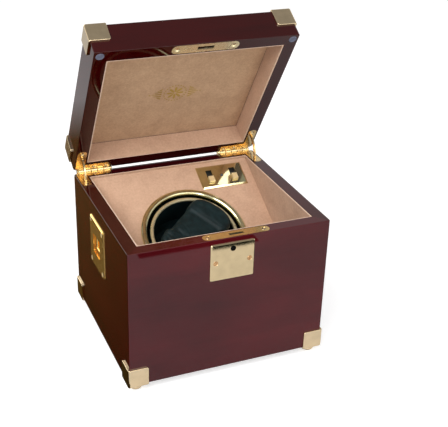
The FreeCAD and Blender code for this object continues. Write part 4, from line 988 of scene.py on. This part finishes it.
def addEdgeCard(name, spec):
    left, right = spec["from"], spec["to"]
    corners = [left, (right[0], left[1], left[2]), right, (left[0], left[1], right[2])]
    card, tree = stageObject(name, corners, [(0, 1, 2, 3)])
    shineCard(card, tree, spec["strength"])


def smoothed(knots, t):    # a Catmull-Rom curve through the knots
    i = min(int(t), len(knots) - 2)
    u = t - i
    a, b, c, d = (knots[max(0, min(len(knots) - 1, k))] for k in (i - 1, i, i + 1, i + 2))
    return 0.5 * (2 * b + (c - a) * u + (2 * a - 5 * b + 4 * c - d) * u * u
                  + (3 * b - a - 3 * c + d) * u * u * u)


def addGlint():
    back = deckFrame.inverted()
    points = np.array([back @ v.co for v in frame["nodes"]["switch_plate"].data.vertices])
    low, high = points.min(0), points.max(0)
    middle = Vector((low + high) / 2)
    ray = middle - back @ Vector(view["position"])
    rise = glint["height"] * mm
    shift = Vector((ray.x, ray.y, 0)) * (rise / abs(ray.z))
    knots = np.array(glint["path"])
    steps = glint["steps"]
    spots = np.linspace(0, len(knots) - 1, steps + 1)
    line = np.array([smoothed(knots, t) for t in spots])
    path = line[:, :2] * (high - low)[:2] + low[:2]
    ahead = np.gradient(path, axis=0)
    ahead /= np.linalg.norm(ahead, axis=1, keepdims=True)
    side = np.stack([-ahead[:, 1], ahead[:, 0]], axis=1) * line[:, 2:] * (high - low)[0]
    edges = [Vector((*p, high[2] + rise)) + shift for p in np.vstack([path + side, path - side])]
    faces = [(k, k + 1, k + steps + 2, k + steps + 1) for k in range(steps)]
    card, tree = stageObject("glintCard", [deckFrame @ p for p in edges], faces)
    shineCard(card, tree, glint["strength"])


def addWorld():
    world = bpy.data.worlds.new("studio")
    scene.world = world
    world.use_nodes = True
    tree = world.node_tree
    tree.nodes.clear()
    out = tree.nodes.new("ShaderNodeOutputWorld")
    path = tree.nodes.new("ShaderNodeLightPath")
    coords = tree.nodes.new("ShaderNodeTexCoord")
    split = put(tree, "ShaderNodeSeparateXYZ", {0: coords.outputs["Generated"]})
    sky = ramp(tree, split.outputs[2], [(place, grey(v)) for place, v in studio["sky"]])
    plain = put(tree, "ShaderNodeBackground", Color=(1, 1, 1, 1), Strength=studio["world"])
    mirror = put(tree, "ShaderNodeBackground", {"Color": sky}, Strength=1.0)
    white = put(tree, "ShaderNodeBackground", Color=(1, 1, 1, 1), Strength=1.0)
    first = put(tree, "ShaderNodeMixShader")
    second = put(tree, "ShaderNodeMixShader")
    tree.links.new(path.outputs["Is Glossy Ray"], first.inputs[0])
    tree.links.new(plain.outputs[0], first.inputs[1])
    tree.links.new(mirror.outputs[0], first.inputs[2])
    tree.links.new(path.outputs["Is Camera Ray"], second.inputs[0])
    tree.links.new(first.outputs[0], second.inputs[1])
    tree.links.new(white.outputs[0], second.inputs[2])
    tree.links.new(second.outputs[0], out.inputs[0])


aim = (0, 0, 0.12)    # what both lamps point at
lamps = [
    {"name": "key", "place": (-0.75, -0.55, 1.10), "size": (0.9, 0.9), "power": 14.5},
    {"name": "front", "place": (0.15, -1.25, 0.65), "size": (0.9, 0.5), "power": 6.0},
]


def addLamps():
    target = Vector(aim)
    for spec in lamps:
        data = bpy.data.lights.new(spec["name"], "AREA")
        data.shape = "RECTANGLE"
        data.size, data.size_y = spec["size"]
        data.energy = spec["power"]
        lamp = bpy.data.objects.new(spec["name"], data)
        scene.collection.objects.link(lamp)
        lamp.location = spec["place"]
        lamp.rotation_euler = (target - lamp.location).to_track_quat("-Z", "Y").to_euler()


addFloor()
for name, spec in shadeCards.items():
    addShadeCard(name, spec)
for name, spec in edgeCards.items():
    addEdgeCard(name, spec)
addGlint()
addWorld()
addLamps()
scene.view_settings.view_transform = "Standard"
print("stage set")
